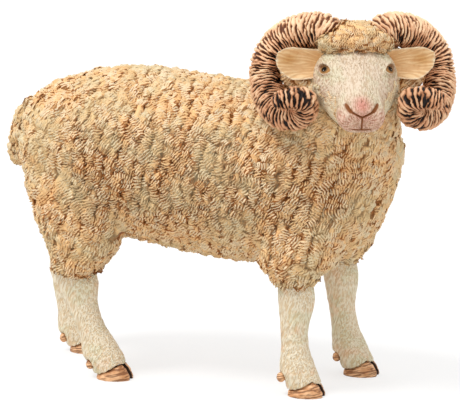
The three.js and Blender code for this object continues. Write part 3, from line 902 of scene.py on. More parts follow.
@dataclass
class Coat:
    """One woolly moulding: its skin, swollen into clumps, and the locks that cover it.

    A clump is a rope of wool, clump[0] wide, that is broken into pieces clump[1] long.
    """

    node: str
    voxel: float = 0.5
    inset: float = 0.0
    clump: Pair = (2.35, 8.0)
    slant: float = 0.26
    chest_turn: float = 17.0
    rump_turn: float = -24.0
    turn_radius: float = 13.0
    wander: float = 0.55
    wander_sizes: Pair = (8.0, 3.0)
    bulge: float = 0.46
    channel: float = 0.4
    unevenness: float = 0.06
    rope_edge: Pair = (0.7, 1.0)
    rope_end: Pair = (0.72, 1.0)
    parting: float = 0.9
    parting_edge: Pair = (0.6, 0.88)
    margin: float = 0.6
    fade_in: float = 0.1
    hold_off: Pair = (0.35, 1.2)
    spacing: float = 0.86
    scale: Pair = (0.85, 1.12)
    turn: float = 0.3
    lean: float = 0.06
    swirl: float = 30.0
    swirl_own: float = 0.4
    swirl_drift: float = 0.8
    crest: float = 0.52
    crest_cut: float = 0.38
    end_depth: float = 0.4
    behind_ears: float = 0.9
    ear_reach: Pair = (0.4, 1.8)
    search: float = 4.0
    cuts: tuple[float, ...] = ()
    seed: int = 3

    def flow(self, points: np.ndarray, normals: np.ndarray) -> np.ndarray:
        """Which way the wool is combed at each point, before the clumps turn it."""
        raise NotImplementedError

    def skin(self, others: list[str]) -> bpy.types.Object:
        """The skin under the locks, with what the locks need stored at its points.

        Args:
            others: the names of the solids that the wool keeps away from.

        Returns:
            The skin.
        """
        piece = copy_of(f"{self.node}_skin", self.node)
        resculpt(piece, self.voxel, 3)
        points, normals = points_of(piece), normals_of(piece)
        comb = self.flow(points, normals)
        comb = unit(comb - normals * np.sum(comb * normals, axis=1, keepdims=True))
        wide, long = self.clump
        large, small = self.wander_sizes
        across, along = self.lie(points)
        across += self.wander * (drift(points, large, self.seed) + 0.4 * drift(points, small, self.seed + 1))
        side_on, end_on, own = ropes(across / wide, along / long, self.seed)
        gap = np.maximum(ramp(side_on, *self.rope_edge), self.end_depth * ramp(end_on, *self.rope_end))
        edge = np.maximum(side_on, end_on**3) ** 1.5
        swirl = self.swirl_own * (own * 2 - 1) + self.swirl_drift * drift(points, 5.0, self.seed + 5)
        angle = np.radians(self.swirl) * swirl
        keep(piece, "flow", swept(comb, normals, angle))
        away, ears = self.room(points, others)
        cover = ramp(away, self.margin - self.fade_in, self.margin)
        keep(piece, "cover", cover * (1 - self.parting * ramp(side_on, *self.parting_edge)))
        keep(piece, "crest", self.crest - self.crest_cut * gap)
        # hollow: the wash between the ropes, plus painted shade on the body's flanks.
        keep(piece, "hollow", np.maximum(gap, 0.5 * edge) + self.stain(points, normals))
        swell = self.unevenness * drift(points, 4.0, self.seed + 8)
        swell += self.bulge * (0.5 - edge) - self.channel * gap
        thin = self.tuck(points, normals) + self.behind_ears * (1 - ramp(ears, *self.ear_reach))
        lift = (swell - self.inset) * ramp(away, *self.hold_off) - thin
        up = self.rise(points, normals)[:, None] * UP
        move_to(piece, points + normals * lift[:, None] + up)
        return piece

    def tuck(self, points: np.ndarray, normals: np.ndarray) -> np.ndarray:
        """How far each point is drawn in at the moulding's edges."""
        return np.zeros(len(points))

    def rise(self, points: np.ndarray, normals: np.ndarray) -> np.ndarray:
        """How far each point is moved up."""
        return np.zeros(len(points))

    def stain(self, points: np.ndarray, normals: np.ndarray) -> np.ndarray:
        """How much painted shade each point gets on top of the wash."""
        return np.zeros(len(points))

    def lie(self, points: np.ndarray) -> tuple[np.ndarray, np.ndarray]:
        """How far each point lies across the ropes of wool and along them.

        Args:
            points: the skin's points in millimetres.

        Returns:
            The place across and the place along, in millimetres, for each point.
        """
        x, half = points[:, 0], np.abs(points[:, 1] - MIDLINE)
        chest = self.chest_turn + self.turn_radius * np.arctan2(x - self.chest_turn, half)
        rump = self.rump_turn - self.turn_radius * np.arctan2(self.rump_turn - x, half)
        girth = np.where(x > self.chest_turn, chest, np.where(x < self.rump_turn, rump, x))
        return girth - self.slant * points[:, 2], points[:, 2] + self.slant * girth

    def clearance(self, points: np.ndarray, others: list[str]) -> np.ndarray:
        """How far each point lies from the nearest of the other solids.

        Args:
            points: the skin's points in millimetres.
            others: the names of those solids.

        Returns:
            A distance in millimetres for each point, at most the one searched.
        """
        work = bmesh.new()
        for node in others:
            work.from_mesh(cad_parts[node].data)
        tree = BVHTree.FromBMesh(work)
        work.free()
        found = [tree.find_nearest(Vector(p), self.search * MM)[3] for p in points * MM]
        return np.array([self.search if d is None else d / MM for d in found])

    def room(self, points: np.ndarray, others: list[str]) -> tuple[np.ndarray, np.ndarray]:
        """The clearance, with more left behind the cupped ears, and the clearance of the ears alone."""
        ears = self.clearance(points, [name for name in others if name.endswith("_ear")])
        return np.minimum(self.clearance(points, others), ears - self.behind_ears), ears

    def build(self, locks: bpy.types.Collection, recipe: Recipe, finish: bpy.types.Material) -> None:
        """Makes the skin and its locks, in pieces that meet at the cuts.

        Args:
            locks: the locks that the recipe lays.
            recipe: the tree that lays them.
            finish: the paint of the skin and the locks.
        """
        others = [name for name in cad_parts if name.endswith(("_ear", "_horn", "_eye"))]
        skin = self.skin(others)
        values = {
            "Locks": locks,
            "Spacing": self.spacing * MM,
            "Smallest": self.scale[0],
            "Largest": self.scale[1],
            "Turn": self.turn,
            "Lean": self.lean,
            "Seed": self.seed,
            "Finish": finish,
        }
        edges = (-BEYOND, *self.cuts, BEYOND)
        for i, (start, end) in enumerate(zip(edges, edges[1:])):
            piece = linked(f"{self.node}_locks_{i + 1}", skin.data.copy())
            recipe.put_on(piece, {**values, "From": start * MM, "To": end * MM})
            settle(piece)
            dress(piece, Slot.FLEECE, finish)
        self.end(skin, finish)

    def end(self, skin: bpy.types.Object, finish: bpy.types.Material) -> None:
        """Dresses the skin, which stands for its solid."""
        dress(skin, Slot.FLEECE, finish, self.node)


@dataclass
class BodyCoat(Coat):
    """The wool of the body: combed up along the flanks, and down and out over the chest.

    Each effect changes smoothly between a pair of numbers: along the animal in those named
    ahead, above the floor in those named up, and by how squarely the skin faces it in those
    named facing.
    """

    node: str = "torso_fleece"
    cuts: tuple[float, ...] = (-31.0, -12.0, 6.0, 22.0)
    slimmer: float = 0.3
    neck_ahead: Pair = (8.0, 18.0)
    neck_up: Pair = (38.0, 46.0)
    raised: float = 0.9
    hem_up: Pair = (24.0, 28.0)
    belly_facing: Pair = (0.1, 0.8)
    front_hem: Pair = (19.5, 23.5)
    sag: float = 0.95
    sag_at: float = -28.0
    sag_reach: float = 3.2
    # Painted shade on the flanks, and a lighter top of the neck front.
    flank_stain: float = 0.55
    flank_facing: Pair = (0.5, 0.9)
    flank_up: Pair = (30.0, 38.0)
    back_up: Pair = (52.0, 58.0)
    flank_ahead: Pair = (-34.0, -26.0)
    collar_stain: float = -0.35
    collar_ahead: Pair = (4.0, 12.0)
    collar_up: Pair = (44.0, 52.0)
    climb: float = math.radians(38)
    steeper: float = 0.4
    steep_below: Pair = (25.0, 33.0)
    part: float = 0.55
    part_reach: float = 3.0
    chest_ahead: Pair = (16.0, 32.0)
    chest_facing: Pair = (-0.1, 0.5)

    def tuck(self, points: np.ndarray, normals: np.ndarray) -> np.ndarray:
        """The barrel is a little slimmer than the neck."""
        neck = ramp(points[:, 0], *self.neck_ahead) * ramp(points[:, 2], *self.neck_up)
        return self.slimmer * (1 - neck)

    def rise(self, points: np.ndarray, normals: np.ndarray) -> np.ndarray:
        """The belly and the hems are drawn up, the near ones unevenly.

        Args:
            points: the skin's points in millimetres.
            normals: which way each of them faces.

        Returns:
            A height in millimetres for each point.
        """
        x, y, z = points.T
        hem = 1 - ramp(z, *self.hem_up)
        near = (y < MIDLINE) * hem
        sag = self.sag * bell(x, self.sag_at, self.sag_reach) * near
        under = np.maximum(hem, ramp(-normals[:, 2], *self.belly_facing))
        return self.raised * (under - sag) + ramp(x, *self.front_hem) * near

    def stain(self, points: np.ndarray, normals: np.ndarray) -> np.ndarray:
        """Painted shade along the side-facing flanks, ahead of the rump and below the back, and a lighter top
        of the neck front.

        Args:
            points: the skin's points in millimetres.
            normals: which way each of them faces.

        Returns:
            One number for each point.
        """
        x, _, z = points.T
        flank = ramp(np.abs(normals[:, 1]), *self.flank_facing) * ramp(z, *self.flank_up)
        flank *= (1 - ramp(z, *self.back_up)) * ramp(x, *self.flank_ahead)
        collar = ramp(x, *self.collar_ahead) * ramp(z, *self.collar_up)
        return self.flank_stain * flank + self.collar_stain * collar

    def flow(self, points: np.ndarray, normals: np.ndarray) -> np.ndarray:
        """Which way the wool is combed at each point.

        Args:
            points: the skin's points in millimetres.
            normals: which way each of them faces.

        Returns:
            One row for each point.
        """
        flank = np.tile([math.cos(self.climb), 0.0, math.sin(self.climb)], (len(points), 1))
        steep = 1 - ramp(points[:, 2], *self.steep_below)
        flank += (self.steeper * steep)[:, None] * UP
        out = np.clip((points[:, 1] - MIDLINE) / self.part_reach, -1, 1) * self.part
        chest = np.stack([np.full(len(points), 0.2), out, np.full(len(points), -1.0)], axis=1)
        share = ramp(points[:, 0], *self.chest_ahead) * ramp(normals[:, 0], *self.chest_facing)
        return flank * (1 - share)[:, None] + chest * share[:, None]


@dataclass
class TailCoat(Coat):
    """The wool of the tail, combed down."""

    node: str = "tail"
    voxel: float = 0.4
    spacing: float = 0.95
    scale: Pair = (0.7, 1.0)
    sunk: float = 0.9
    root: Pair = (-4.0, -0.5)
    down: Triple = (-0.17, 0.0, -1.0)
    seed: int = 17

    def tuck(self, points: np.ndarray, normals: np.ndarray) -> np.ndarray:
        """The root of the tail, just under its top, sinks into the rump."""
        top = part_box(self.node)[1][2] / MM
        return self.sunk * ramp(points[:, 2] - top, *self.root)

    def flow(self, points: np.ndarray, normals: np.ndarray) -> np.ndarray:
        """Down the tail."""
        return np.tile(self.down, (len(points), 1))


@dataclass
class PollCoat(Coat):
    """The cap of wool between the horns, combed out and down from its crown."""

    node: str = "poll_wool"
    voxel: float = 0.35
    inset: float = 0.1
    clump: Pair = (1.9, 2.6)
    bulge: float = 0.16
    channel: float = 0.12
    parting: float = 0.2
    margin: float = 0.3
    spacing: float = 0.66
    scale: Pair = (0.6, 0.82)
    swirl: float = 34.0
    hem: float = 0.9
    hem_reach: float = 3.0
    hem_facing: Pair = (0.1, 0.6)
    behind_ears: float = 0.2
    outward: float = 0.16
    down: Triple = (0.12, -0.3, -1.0)
    seed: int = 23

    def tuck(self, points: np.ndarray, normals: np.ndarray) -> np.ndarray:
        """The front of the cap thins towards the forehead, in a ragged line.

        Args:
            points: the skin's points in millimetres.
            normals: which way each of them faces.

        Returns:
            A depth in millimetres for each point.
        """
        near = 1 - ramp(self.clearance(points, ["head"]), 0.0, self.hem_reach)
        front = ramp(normals @ FaceFrame.from_eyes().forward, *self.hem_facing)
        return self.hem * near * front * (0.9 + 0.25 * drift(points, 2.4, self.seed + 9))

    def flow(self, points: np.ndarray, normals: np.ndarray) -> np.ndarray:
        """Outwards and down from the crown.

        Args:
            points: the skin's points in millimetres.
            normals: which way each of them faces; not used.

        Returns:
            One row for each point.
        """
        low, high = (np.array(corner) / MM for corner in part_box(self.node))
        out = (points - (low + high) / 2) * np.array([1.0, 1.0, 0.0])
        return out * self.outward + np.array(self.down)


@dataclass
class CheekCoat(Coat):
    """The short wool of the cheeks and the jaw, which lies on the head's skin."""

    head: bpy.types.Object | None = None
    node: str = "cheeks"
    lift: float = 0.15
    spacing: float = 0.5
    scale: Pair = (0.48, 0.72)
    comb: Triple = (-0.5, 0.0, -0.85)
    cheek_out: Pair = (7.0, 9.8)
    cheek_ahead: Pair = (7.4, 9.4)
    behind_ahead: Pair = (2.8, 4.0)
    behind_out: Pair = (5.6, 6.6)
    behind_down: Pair = (-1.0, 1.0)
    jaw_down: Pair = (3.4, 4.4)
    jaw_ahead: Pair = (6.0, 8.0)
    seed: int = 29

    def skin(self, others: list[str]) -> bpy.types.Object:
        """A copy of the head's skin, with the wool's place and flow stored in it.

        Args:
            others: the solids beside it, which this wool doesn't need.

        Returns:
            The copy.
        """
        piece = linked("cheeks_skin", self.head.data.copy())
        points, normals = points_of(piece), normals_of(piece)
        move_to(piece, points + normals * self.lift)
        face = FaceFrame.from_eyes()
        along, left, up = face.spots_of(points).T
        comb = np.tile(face.on_face(np.array(self.comb)) - face.middle, (len(points), 1))
        angle = np.radians(self.swirl * 1.6) * drift(points, 2.4, self.seed)
        keep(piece, "flow", swept(comb, normals, angle))
        out = np.abs(left)
        cheek = ramp(cheekward(along, left, up), *self.cheek_out) * (1 - ramp(along, *self.cheek_ahead))
        behind = ramp(-along, *self.behind_ahead) * ramp(out, *self.behind_out) * ramp(-up, *self.behind_down)
        jaw = ramp(-up, *self.jaw_down) * (1 - ramp(along, *self.jaw_ahead))
        keep(piece, "cover", np.clip(cheek + behind + jaw, 0, 1))
        return piece

    def end(self, skin: bpy.types.Object, finish: bpy.types.Material) -> None:
        """Takes the copy away, as the head has its own skin."""
        bpy.data.objects.remove(skin)


@dataclass(frozen=True)
class FaceFinish:
    """Cream skin with fine hair strokes, a pink nose and brown lines."""

    cream: str = "e4d1ba"
    shade: str = "cbb394"
    fleck: str = "a8977a"
    gold: str = "fbdeb0"
    sage: str = "dcd8b8"
    pink: str = "da8b7c"
    blush: str = "e5ab98"
    wash: str = "cc9482"
    line: str = "8a5024"
    tan: str = "a8733f"
    sage_patches: Patches = Patches(4.0, 0.45, 0.65, 0.5, 3.0)
    fleck_patches: Patches = Patches(3.0, 0.42, 0.58, 1.0, 1.0)
    hair: float = 0.27
    hair_stretch: Triple = (0.28, 1.0, 0.6)
    worn: Pair = (0.47, 0.58)
    worn_share: float = 0.52
    worn_less_at_side: float = 0.12
    fleck_size: float = 0.24
    fleck_stretch: Triple = (0.6, 1.0, 1.0)
    fleck_band: Pair = (0.6, 0.66)
    fleck_share: float = 0.7
    relief: float = 0.36
    roughness: float = 0.55

    def material(self) -> bpy.types.Material:
        """The paint, which reads the marks that the head's mesh keeps.

        Returns:
            The material.
        """
        paint = Paint("painted_face")
        spot = paint.stored("spot", "Vector")
        side = paint.stored("side")
        hair = paint.noise(self.hair, 1.0, paint.vector_sum("MULTIPLY", spot, self.hair_stretch))
        colour = paint.mix(paint.patches(self.sage_patches), tone(self.cream), tone(self.sage))
        colour = paint.mix(paint.stored("sage") * 0.7, colour, tone(self.sage))
        for mark, tint in (("tan", self.tan), ("blush", self.blush), ("pink", self.pink)):
            colour = paint.mix(paint.stored(mark), colour, tone(tint))
        colour = paint.mix(side * 0.5, colour, tone(self.gold))
        worn = paint.step(hair, *self.worn) * (self.worn_share - side * self.worn_less_at_side)
        colour = paint.mix(worn, colour, tone(self.shade), "MULTIPLY")
        specks = paint.noise(self.fleck_size, 1.0, paint.vector_sum("MULTIPLY", spot, self.fleck_stretch))
        fleck = paint.step(specks, *self.fleck_band) * paint.patches(self.fleck_patches)
        colour = paint.mix(fleck * self.fleck_share, colour, tone(self.fleck), "MULTIPLY")
        colour = paint.mix(paint.stored("stroke"), colour, tone(self.wash), "MULTIPLY")
        colour = paint.mix(paint.stored("line"), colour, tone(self.line))
        return paint.finish(colour, self.roughness, paint.bump(1 - hair, self.relief, 0.9))


@dataclass(frozen=True)
class Swell:
    """A place where the skull swells or sinks alike on both sides, given along, left and up."""

    middle: Triple
    reach: Triple
    by: Triple

    def push(self, spots: np.ndarray) -> None:
        """Moves the skull's spots, in place.

        Args:
            spots: face coordinates, changed in place.
        """
        sign = np.where(spots[:, 1] < 0, -1.0, 1.0)
        weight = np.exp(-np.sum(((folded(spots) - self.middle) / np.array(self.reach)) ** 2, axis=1))
        move = np.tile(np.array(self.by, float), (len(spots), 1))
        move[:, 1] *= sign
        spots += weight[:, None] * move


@dataclass
class Head:
    """The bare head: a lofted skull with its lids, nostrils and mouth carved in.

    Places on it are in face coordinates: along the nose, to the left and out of the forehead.
    A pair named at is the middle and the width of a bell round the eye, where the opening's
    edge is at 1. Other pairs are where something starts and where it is full.
    """

    face: FaceFrame
    length: float = 26.0
    width: float = 16.8
    height: float = 15.4
    eye_line: float = 0.49
    back: float = 1.5
    tip: float = 0.8
    pole: float = 0.02
    rings: int = 300
    cap_rings: int = 34
    sides: int = 256
    shares: tuple = (
        (0.0, 0.5, 0.3, 0.5),
        (0.12, 0.78, 0.56, 0.72),
        (0.25, 0.94, 0.76, 0.88),
        (0.38, 1.0, 0.86, 0.98),
        (0.49, 0.98, 0.84, 1.0),
        (0.6, 0.85, 0.76, 0.96),
        (0.72, 0.68, 0.68, 0.82),
        (0.84, 0.58, 0.62, 0.6),
        (0.93, 0.55, 0.56, 0.5),
        (0.99, 0.46, 0.42, 0.4),
    )
    brow: Swell = Swell((-1.6, 7.1, 4.6), (2.4, 1.3, 1.3), (0.0, 0.3, 0.45))
    eye_hollow: Swell = Swell((1.0, 7.4, 2.6), (2.6, 1.6, 1.8), (0.0, -0.35, -0.25))
    cheekbone: Swell = Swell((3.4, 6.6, -0.8), (3.0, 1.6, 2.4), (0.0, 0.35, 0.0))
    bridge: Swell = Swell((6.5, 0.0, 5.2), (3.6, 2.0, 1.6), (0.0, 0.0, 0.35))
    lip: Swell = Swell((12.6, 3.0, 0.4), (1.6, 1.6, 1.3), (0.4, 0.12, 0.1))
    chin: Swell = Swell((12.6, 0.0, -3.4), (2.6, 3.2, 1.6), (-0.1, 0.0, 0.75))
    muzzle_side: Swell = Swell((9.0, 4.9, 0.6), (1.8, 1.2, 1.8), (0.0, -0.25, 0.0))
    eye_middle: tuple = (0.05, 6.35, 3.5)
    eye_half: tuple = (1.9, 0.84)
    eye_inner: tuple = (0.8, -0.47, 0.36)
    eye_out: tuple = (0.08, 0.74, 0.67)
    eye_depth: float = 1.1
    lid: float = 0.24
    lid_at: Pair = (1.35, 0.32)
    lid_fold: float = 0.16
    fold_at: Pair = (3.0, 0.7)
    crease_at: Pair = (3.0, 0.8)
    crease_tan: float = 0.12
    rim_at: Pair = (1.0, 0.14)
    rim_tan: float = 0.6
    opening_ends: Pair = (0.72, 1.0)
    wall_ends: Pair = (0.86, 1.0)
    wall_tan: float = 0.9
    upper_lid: Pair = (0.2, 0.9)
    under_skin: float = -3.0
    farthest: float = 9.0
    temple: Pair = (-2.0, 5.6)
    temple_reach: float = math.sqrt(6)
    temple_sage: float = 0.6
    nostril: tuple = ((11.2, 3.6, 3.5), (12.6, 2.7, 3.0), (13.4, 1.6, 2.4), (13.8, 0.0, 1.6))
    nostril_depth: float = 0.55
    nostril_width: float = 0.22
    nostril_wider: float = 0.34
    nostril_out: Pair = (1.4, 3.0)
    lip_line: tuple = ((13.8, 0.0, 1.6), (13.8, 0.0, -1.25))
    lip_line_width: float = 0.19
    lip_line_depth: float = 0.3
    mouth: tuple = (
        (13.2, -2.8, -1.0),
        (13.6, -1.3, -1.3),
        (13.7, 0.0, -1.38),
        (13.6, 1.3, -1.3),
        (13.2, 2.8, -1.0),
    )
    mouth_width: float = 0.25
    mouth_depth: float = 0.35
    line_edge: Pair = (0.3, 0.55)
    nose: Pair = (12.4, 0.0)
    nose_reach: float = 1.8
    pink_share: float = 0.85
    pink_up: Pair = (0.6, 2.0)
    blush_share: float = 0.45
    blush_ahead: Pair = (8.5, 11.0)
    blush_below: Pair = (-3.0, -1.0)
    blush_above: Pair = (-2.6, -0.8)
    side_out: Pair = (7.4, 10.2)
    side_ahead: Pair = (8.0, 10.0)
    stroke_depth: float = 0.1
    stroke_share: float = 0.65
    fan_middle: Pair = (-0.4, -0.3)
    fan_lines: float = 36.0
    fan_ahead: Pair = (10.5, 12.2)
    fan_below: Pair = (-2.8, -1.6)
    row_way: Pair = (0.64, 0.77)
    row_lines: float = 10.5
    row_out: Pair = (4.4, 6.4)
    row_ahead: Pair = (8.5, 11.0)
    row_share: float = 0.75
    marks: dict[str, np.ndarray] = field(default_factory=dict)

    def profile(self) -> np.ndarray:
        """Along the nose, half width, height above and below, one row for each ring.

        Returns:
            The rows, from the back of the skull to the nose.
        """
        places = np.linspace(self.shares[0][0], self.shares[-1][0], self.rings)
        halves = smooth_rows(self.shares, places) * np.array([self.width, self.height, self.height]) / 2
        body = np.column_stack([(places - self.eye_line) * self.length, halves])
        angle = quarter(self.cap_rings)
        tail = np.cos(angle)[:, None] * body[0]
        tail[:, 0] = body[0, 0] - self.back * np.sin(angle)
        nose = np.cos(angle)[:, None] * body[-1]
        nose[:, 0] = body[-1, 0] + self.tip * np.sin(angle)
        return np.concatenate([tail[::-1], body, nose])

    def blank(self) -> tuple[np.ndarray, int]:
        """The skull before it is carved, and its count of rings.

        Returns:
            Face coordinates of its points, with the two poles last, and that count.
        """
        along, half, above, below = (column[:, None] for column in self.profile().T)
        angle = around(self.sides)
        lift = np.sin(angle)
        up = np.where(lift >= 0, above * lift, below * lift)
        spots = np.stack([np.repeat(along, self.sides, axis=1), half * np.cos(angle), up], axis=-1)
        poles = [[along[0, 0] - self.pole, 0, 0], [along[-1, 0] + self.pole, 0, 0]]
        return np.concatenate([spots.reshape(-1, 3), poles]), len(along)

    @staticmethod
    def near_path(spots: np.ndarray, path: Sequence[Sequence[float]]) -> np.ndarray:
        """How far each spot lies from a broken line.

        Args:
            spots: face coordinates.
            path: the corners of the line.

        Returns:
            One distance for each spot.
        """
        best = np.full(len(spots), BEYOND)
        for start, end in zip(np.array(path[:-1], float), np.array(path[1:], float)):
            way = end - start
            share = np.clip((spots - start) @ way / (way @ way), 0, 1)
            best = np.minimum(best, np.linalg.norm(spots - start - share[:, None] * way, axis=1))
        return best

    def eye_axes(self) -> np.ndarray:
        """The left eye's own axes: to its inner corner, to its upper lid and outwards.

        Returns:
            One axis in each row.
        """
        inner = unit(np.array(self.eye_inner))
        out = unit(np.array(self.eye_out))
        out = unit(out - inner * (out @ inner))
        return np.stack([inner, np.cross(out, inner), out])

    def eye_spots(self, spots: np.ndarray) -> np.ndarray:
        """Face coordinates as the eye's own, with both sides folded onto the left."""
        return (folded(spots) - np.array(self.eye_middle)) @ self.eye_axes().T

    def almond(self, spots: np.ndarray) -> np.ndarray:
        """Below 1 inside the eye's opening, and rising outwards.

        Args:
            spots: face coordinates.

        Returns:
            One number for each spot.
        """
        x, y, _ = self.eye_spots(spots).T
        corner = np.where(x > 0, 1.5, 2.0)
        return (np.abs(x) / self.eye_half[0]) ** corner + (np.abs(y) / self.eye_half[1]) ** 1.8

    def carve_eyes(self, spots: np.ndarray, normals: np.ndarray) -> None:
        """Cuts the eyes' openings and raises their lids, and keeps where the tan and the sage go.

        Args:
            spots: face coordinates, changed in place.
            normals: which way the skin faces there.
        """
        opening = self.almond(spots)
        _, y, out = self.eye_spots(spots).T
        close = (out > self.under_skin) & (opening < self.farthest)
        upper = ramp(y, *self.upper_lid)
        cut = self.lid * bell(opening, *self.lid_at)
        cut -= self.eye_depth * (1 - ramp(opening, *self.opening_ends))
        fold = -self.lid_fold * bell(opening, *self.fold_at) * upper
        spots += normals * np.where(close, cut + fold, 0)[:, None]
        rim = self.rim_tan * bell(opening, *self.rim_at) * close
        wall = self.wall_tan * (1 - ramp(opening, *self.wall_ends)) * close
        crease = bell(opening, *self.crease_at) * upper * close
        self.marks["tan"] = np.clip(np.maximum(rim + crease * self.crease_tan, wall), 0, 1)
        away = np.linalg.norm(folded(spots)[:, :2] - self.temple, axis=1)
        temple = bell(away, 0.0, self.temple_reach)
        self.marks["sage"] = np.clip(crease + self.temple_sage * temple, 0, 1)

    def carve_muzzle(self, spots: np.ndarray, normals: np.ndarray) -> None:
        """Cuts the nostrils, the line under the nose and the mouth, and keeps where their paint goes.

        Args:
            spots: face coordinates, changed in place.
            normals: which way the skin faces there.
        """
        nostril = np.full(len(spots), BEYOND)
        for side in Side:
            path = np.array(self.nostril) * np.array([1, side.value, 1])
            nostril = np.minimum(nostril, self.near_path(spots, path))
        wide = self.nostril_width + self.nostril_wider * ramp(np.abs(spots[:, 1]), *self.nostril_out)
        slit = bell(nostril, 0.0, wide)
        middle = bell(self.near_path(spots, self.lip_line), 0.0, self.lip_line_width)
        mouth = bell(self.near_path(spots, self.mouth), 0.0, self.mouth_width)
        depth = self.nostril_depth * slit + self.lip_line_depth * middle + self.mouth_depth * mouth
        spots -= normals * depth[:, None]
        along, left, up = spots.T
        nose = bell(np.linalg.norm(spots[:, :2] - self.nose, axis=1), 0.0, self.nose_reach)
        self.marks["line"] = ramp(np.maximum(np.maximum(slit, middle), mouth), *self.line_edge)
        self.marks["pink"] = self.pink_share * nose * ramp(up, *self.pink_up)
        blush = ramp(along, *self.blush_ahead) * ramp(-up, *self.blush_below) * ramp(up, *self.blush_above)
        self.marks["blush"] = self.blush_share * blush
        cheek = ramp(cheekward(along, left, up), *self.side_out)
        self.marks["side"] = cheek * (1 - ramp(along, *self.side_ahead))

    def strokes(self, spots: np.ndarray) -> np.ndarray:
        """Fine strokes from 0 to 1, that fan out over the muzzle and run down over the cheeks.

        Args:
            spots: face coordinates.

        Returns:
            One number for each spot.
        """
        along, left, up = spots.T
        out, low = np.abs(left), level(along, up)
        muzzle = ramp(along, *self.fan_ahead) * ramp(-up, *self.fan_below)
        muzzle *= ramp(drift(spots, 1.2, 63), -1.2, 0.2)
        turn = np.arctan2(up - self.fan_middle[1], out - self.fan_middle[0])
        fan = np.sin(turn * self.fan_lines + 1.6 * drift(spots, 2.5, 61))
        cheek = ramp(out - 0.3 * low, *self.row_out) * (1 - ramp(along, *self.row_ahead))
        cheek *= ramp(drift(spots, 0.9, 67), -0.7, 0.6)
        across = self.row_way[0] * out + self.row_way[1] * low
        rows = np.sin(across * self.row_lines + 1.8 * drift(spots, 1.8, 65))
        return np.maximum(ramp(-fan, -0.5, 0.6) * muzzle, self.row_share * ramp(rows, 0.0, 0.8) * cheek)

    def build(self) -> bpy.types.Object:
        """The carved head, with the marks for its paint.

        Returns:
            The piece, not dressed yet.
        """
        spots, rings = self.blank()
        upper = (self.brow, self.eye_hollow, self.cheekbone, self.bridge)
        for swell in (*upper, self.lip, self.chin, self.muzzle_side):
            swell.push(spots)
        piece = new_piece("head_skin", self.face.on_face(spots), tube_faces(rings, self.sides))
        spots = self.face.spots_of(points_of(piece))
        normals = normals_of(piece) @ self.face.axes.T
        self.carve_eyes(spots, normals)
        self.carve_muzzle(spots, normals)
        stroke = self.strokes(spots) * (1 - self.marks["line"])
        spots -= normals * (self.stroke_depth * stroke)[:, None]
        move_to(piece, self.face.on_face(spots))
        for name, values in {**self.marks, "stroke": self.stroke_share * stroke, "spot": spots}.items():
            keep(piece, name, values)
        return piece

    def dress(self, piece: bpy.types.Object) -> None:
        """Paints the head, which stands for its solid."""
        dress(piece, Slot.SKIN, FaceFinish().material(), "head")


@dataclass(frozen=True)
class EyeFinish:
    """A glossy painted eye with a round pupil."""

    pupil: str = "0d0a08"
    iris: str = "7a5c3e"
    edge: str = "b3834f"
    glint: str = "f2f2ee"
    pupil_ends: Pair = (0.46, 0.56)
    iris_ends: Pair = (0.64, 0.84)
    roughness: float = 0.36

    def material(self, name: str) -> bpy.types.Material:
        """The paint, which reads how far each point lies from the pupil's middle.

        Args:
            name: the material's name.

        Returns:
            The material.
        """
        paint = Paint(name)
        away = paint.stored("away")
        colour = paint.mix(paint.step(away, *self.pupil_ends), tone(self.pupil), tone(self.iris))
        colour = paint.mix(paint.step(away, *self.iris_ends), colour, tone(self.edge))
        colour = paint.mix(paint.stored("glint"), colour, tone(self.glint))
        return paint.finish(colour, self.roughness, coat=0.03, specular=0.05)


@dataclass
class Eye:
    """One eyeball: a flattened ellipsoid behind the lids."""

    side: Side
    head: Head
    half: tuple = (2.3, 1.5, 1.3)
    depth: float = 0.95
    pupil_stretch: float = 1.4
    glint_at: tuple = (-0.1, 0.26)
    glint_ends: Pair = (0.05, 0.1)
    rings: int = 60
    sides: int = 96

    def build(self) -> bpy.types.Object:
        """The eyeball, with the pupil's place stored in it.

        Returns:
            The piece, not dressed yet.
        """
        lift = np.linspace(-math.pi / 2, math.pi / 2, self.rings + 2)[1:-1, None]
        angle = around(self.sides)
        flat = np.repeat(np.sin(lift), self.sides, axis=1)
        ball = np.stack([np.cos(lift) * np.cos(angle), np.cos(lift) * np.sin(angle), flat], axis=-1)
        own = np.concatenate([ball.reshape(-1, 3), [[0, 0, -1], [0, 0, 1]]]) * np.array(self.half)
        own[:, 2] -= self.depth
        spots = own @ self.head.eye_axes() + np.array(self.head.eye_middle)
        spots[:, 1] *= self.side.value
        points = self.head.face.on_face(spots)
        piece = new_piece(f"{self.side.word}_eyeball", points, tube_faces(self.rings, self.sides))
        x, y, z = own.T
        behind = z < -self.depth
        keep(piece, "away", np.hypot(x / self.pupil_stretch, y) + 3.0 * behind)
        shine = np.hypot(x - self.side.value * self.glint_at[0], y - self.glint_at[1])
        keep(piece, "glint", (1 - ramp(shine, *self.glint_ends)) * ~behind)
        return piece

    def dress(self, piece: bpy.types.Object) -> None:
        """Paints the eye, which stands for its solid."""
        word = self.side.word
        dress(piece, Slot.EYE, EyeFinish().material(f"{word}_eye_gloss"), f"{word}_eye")


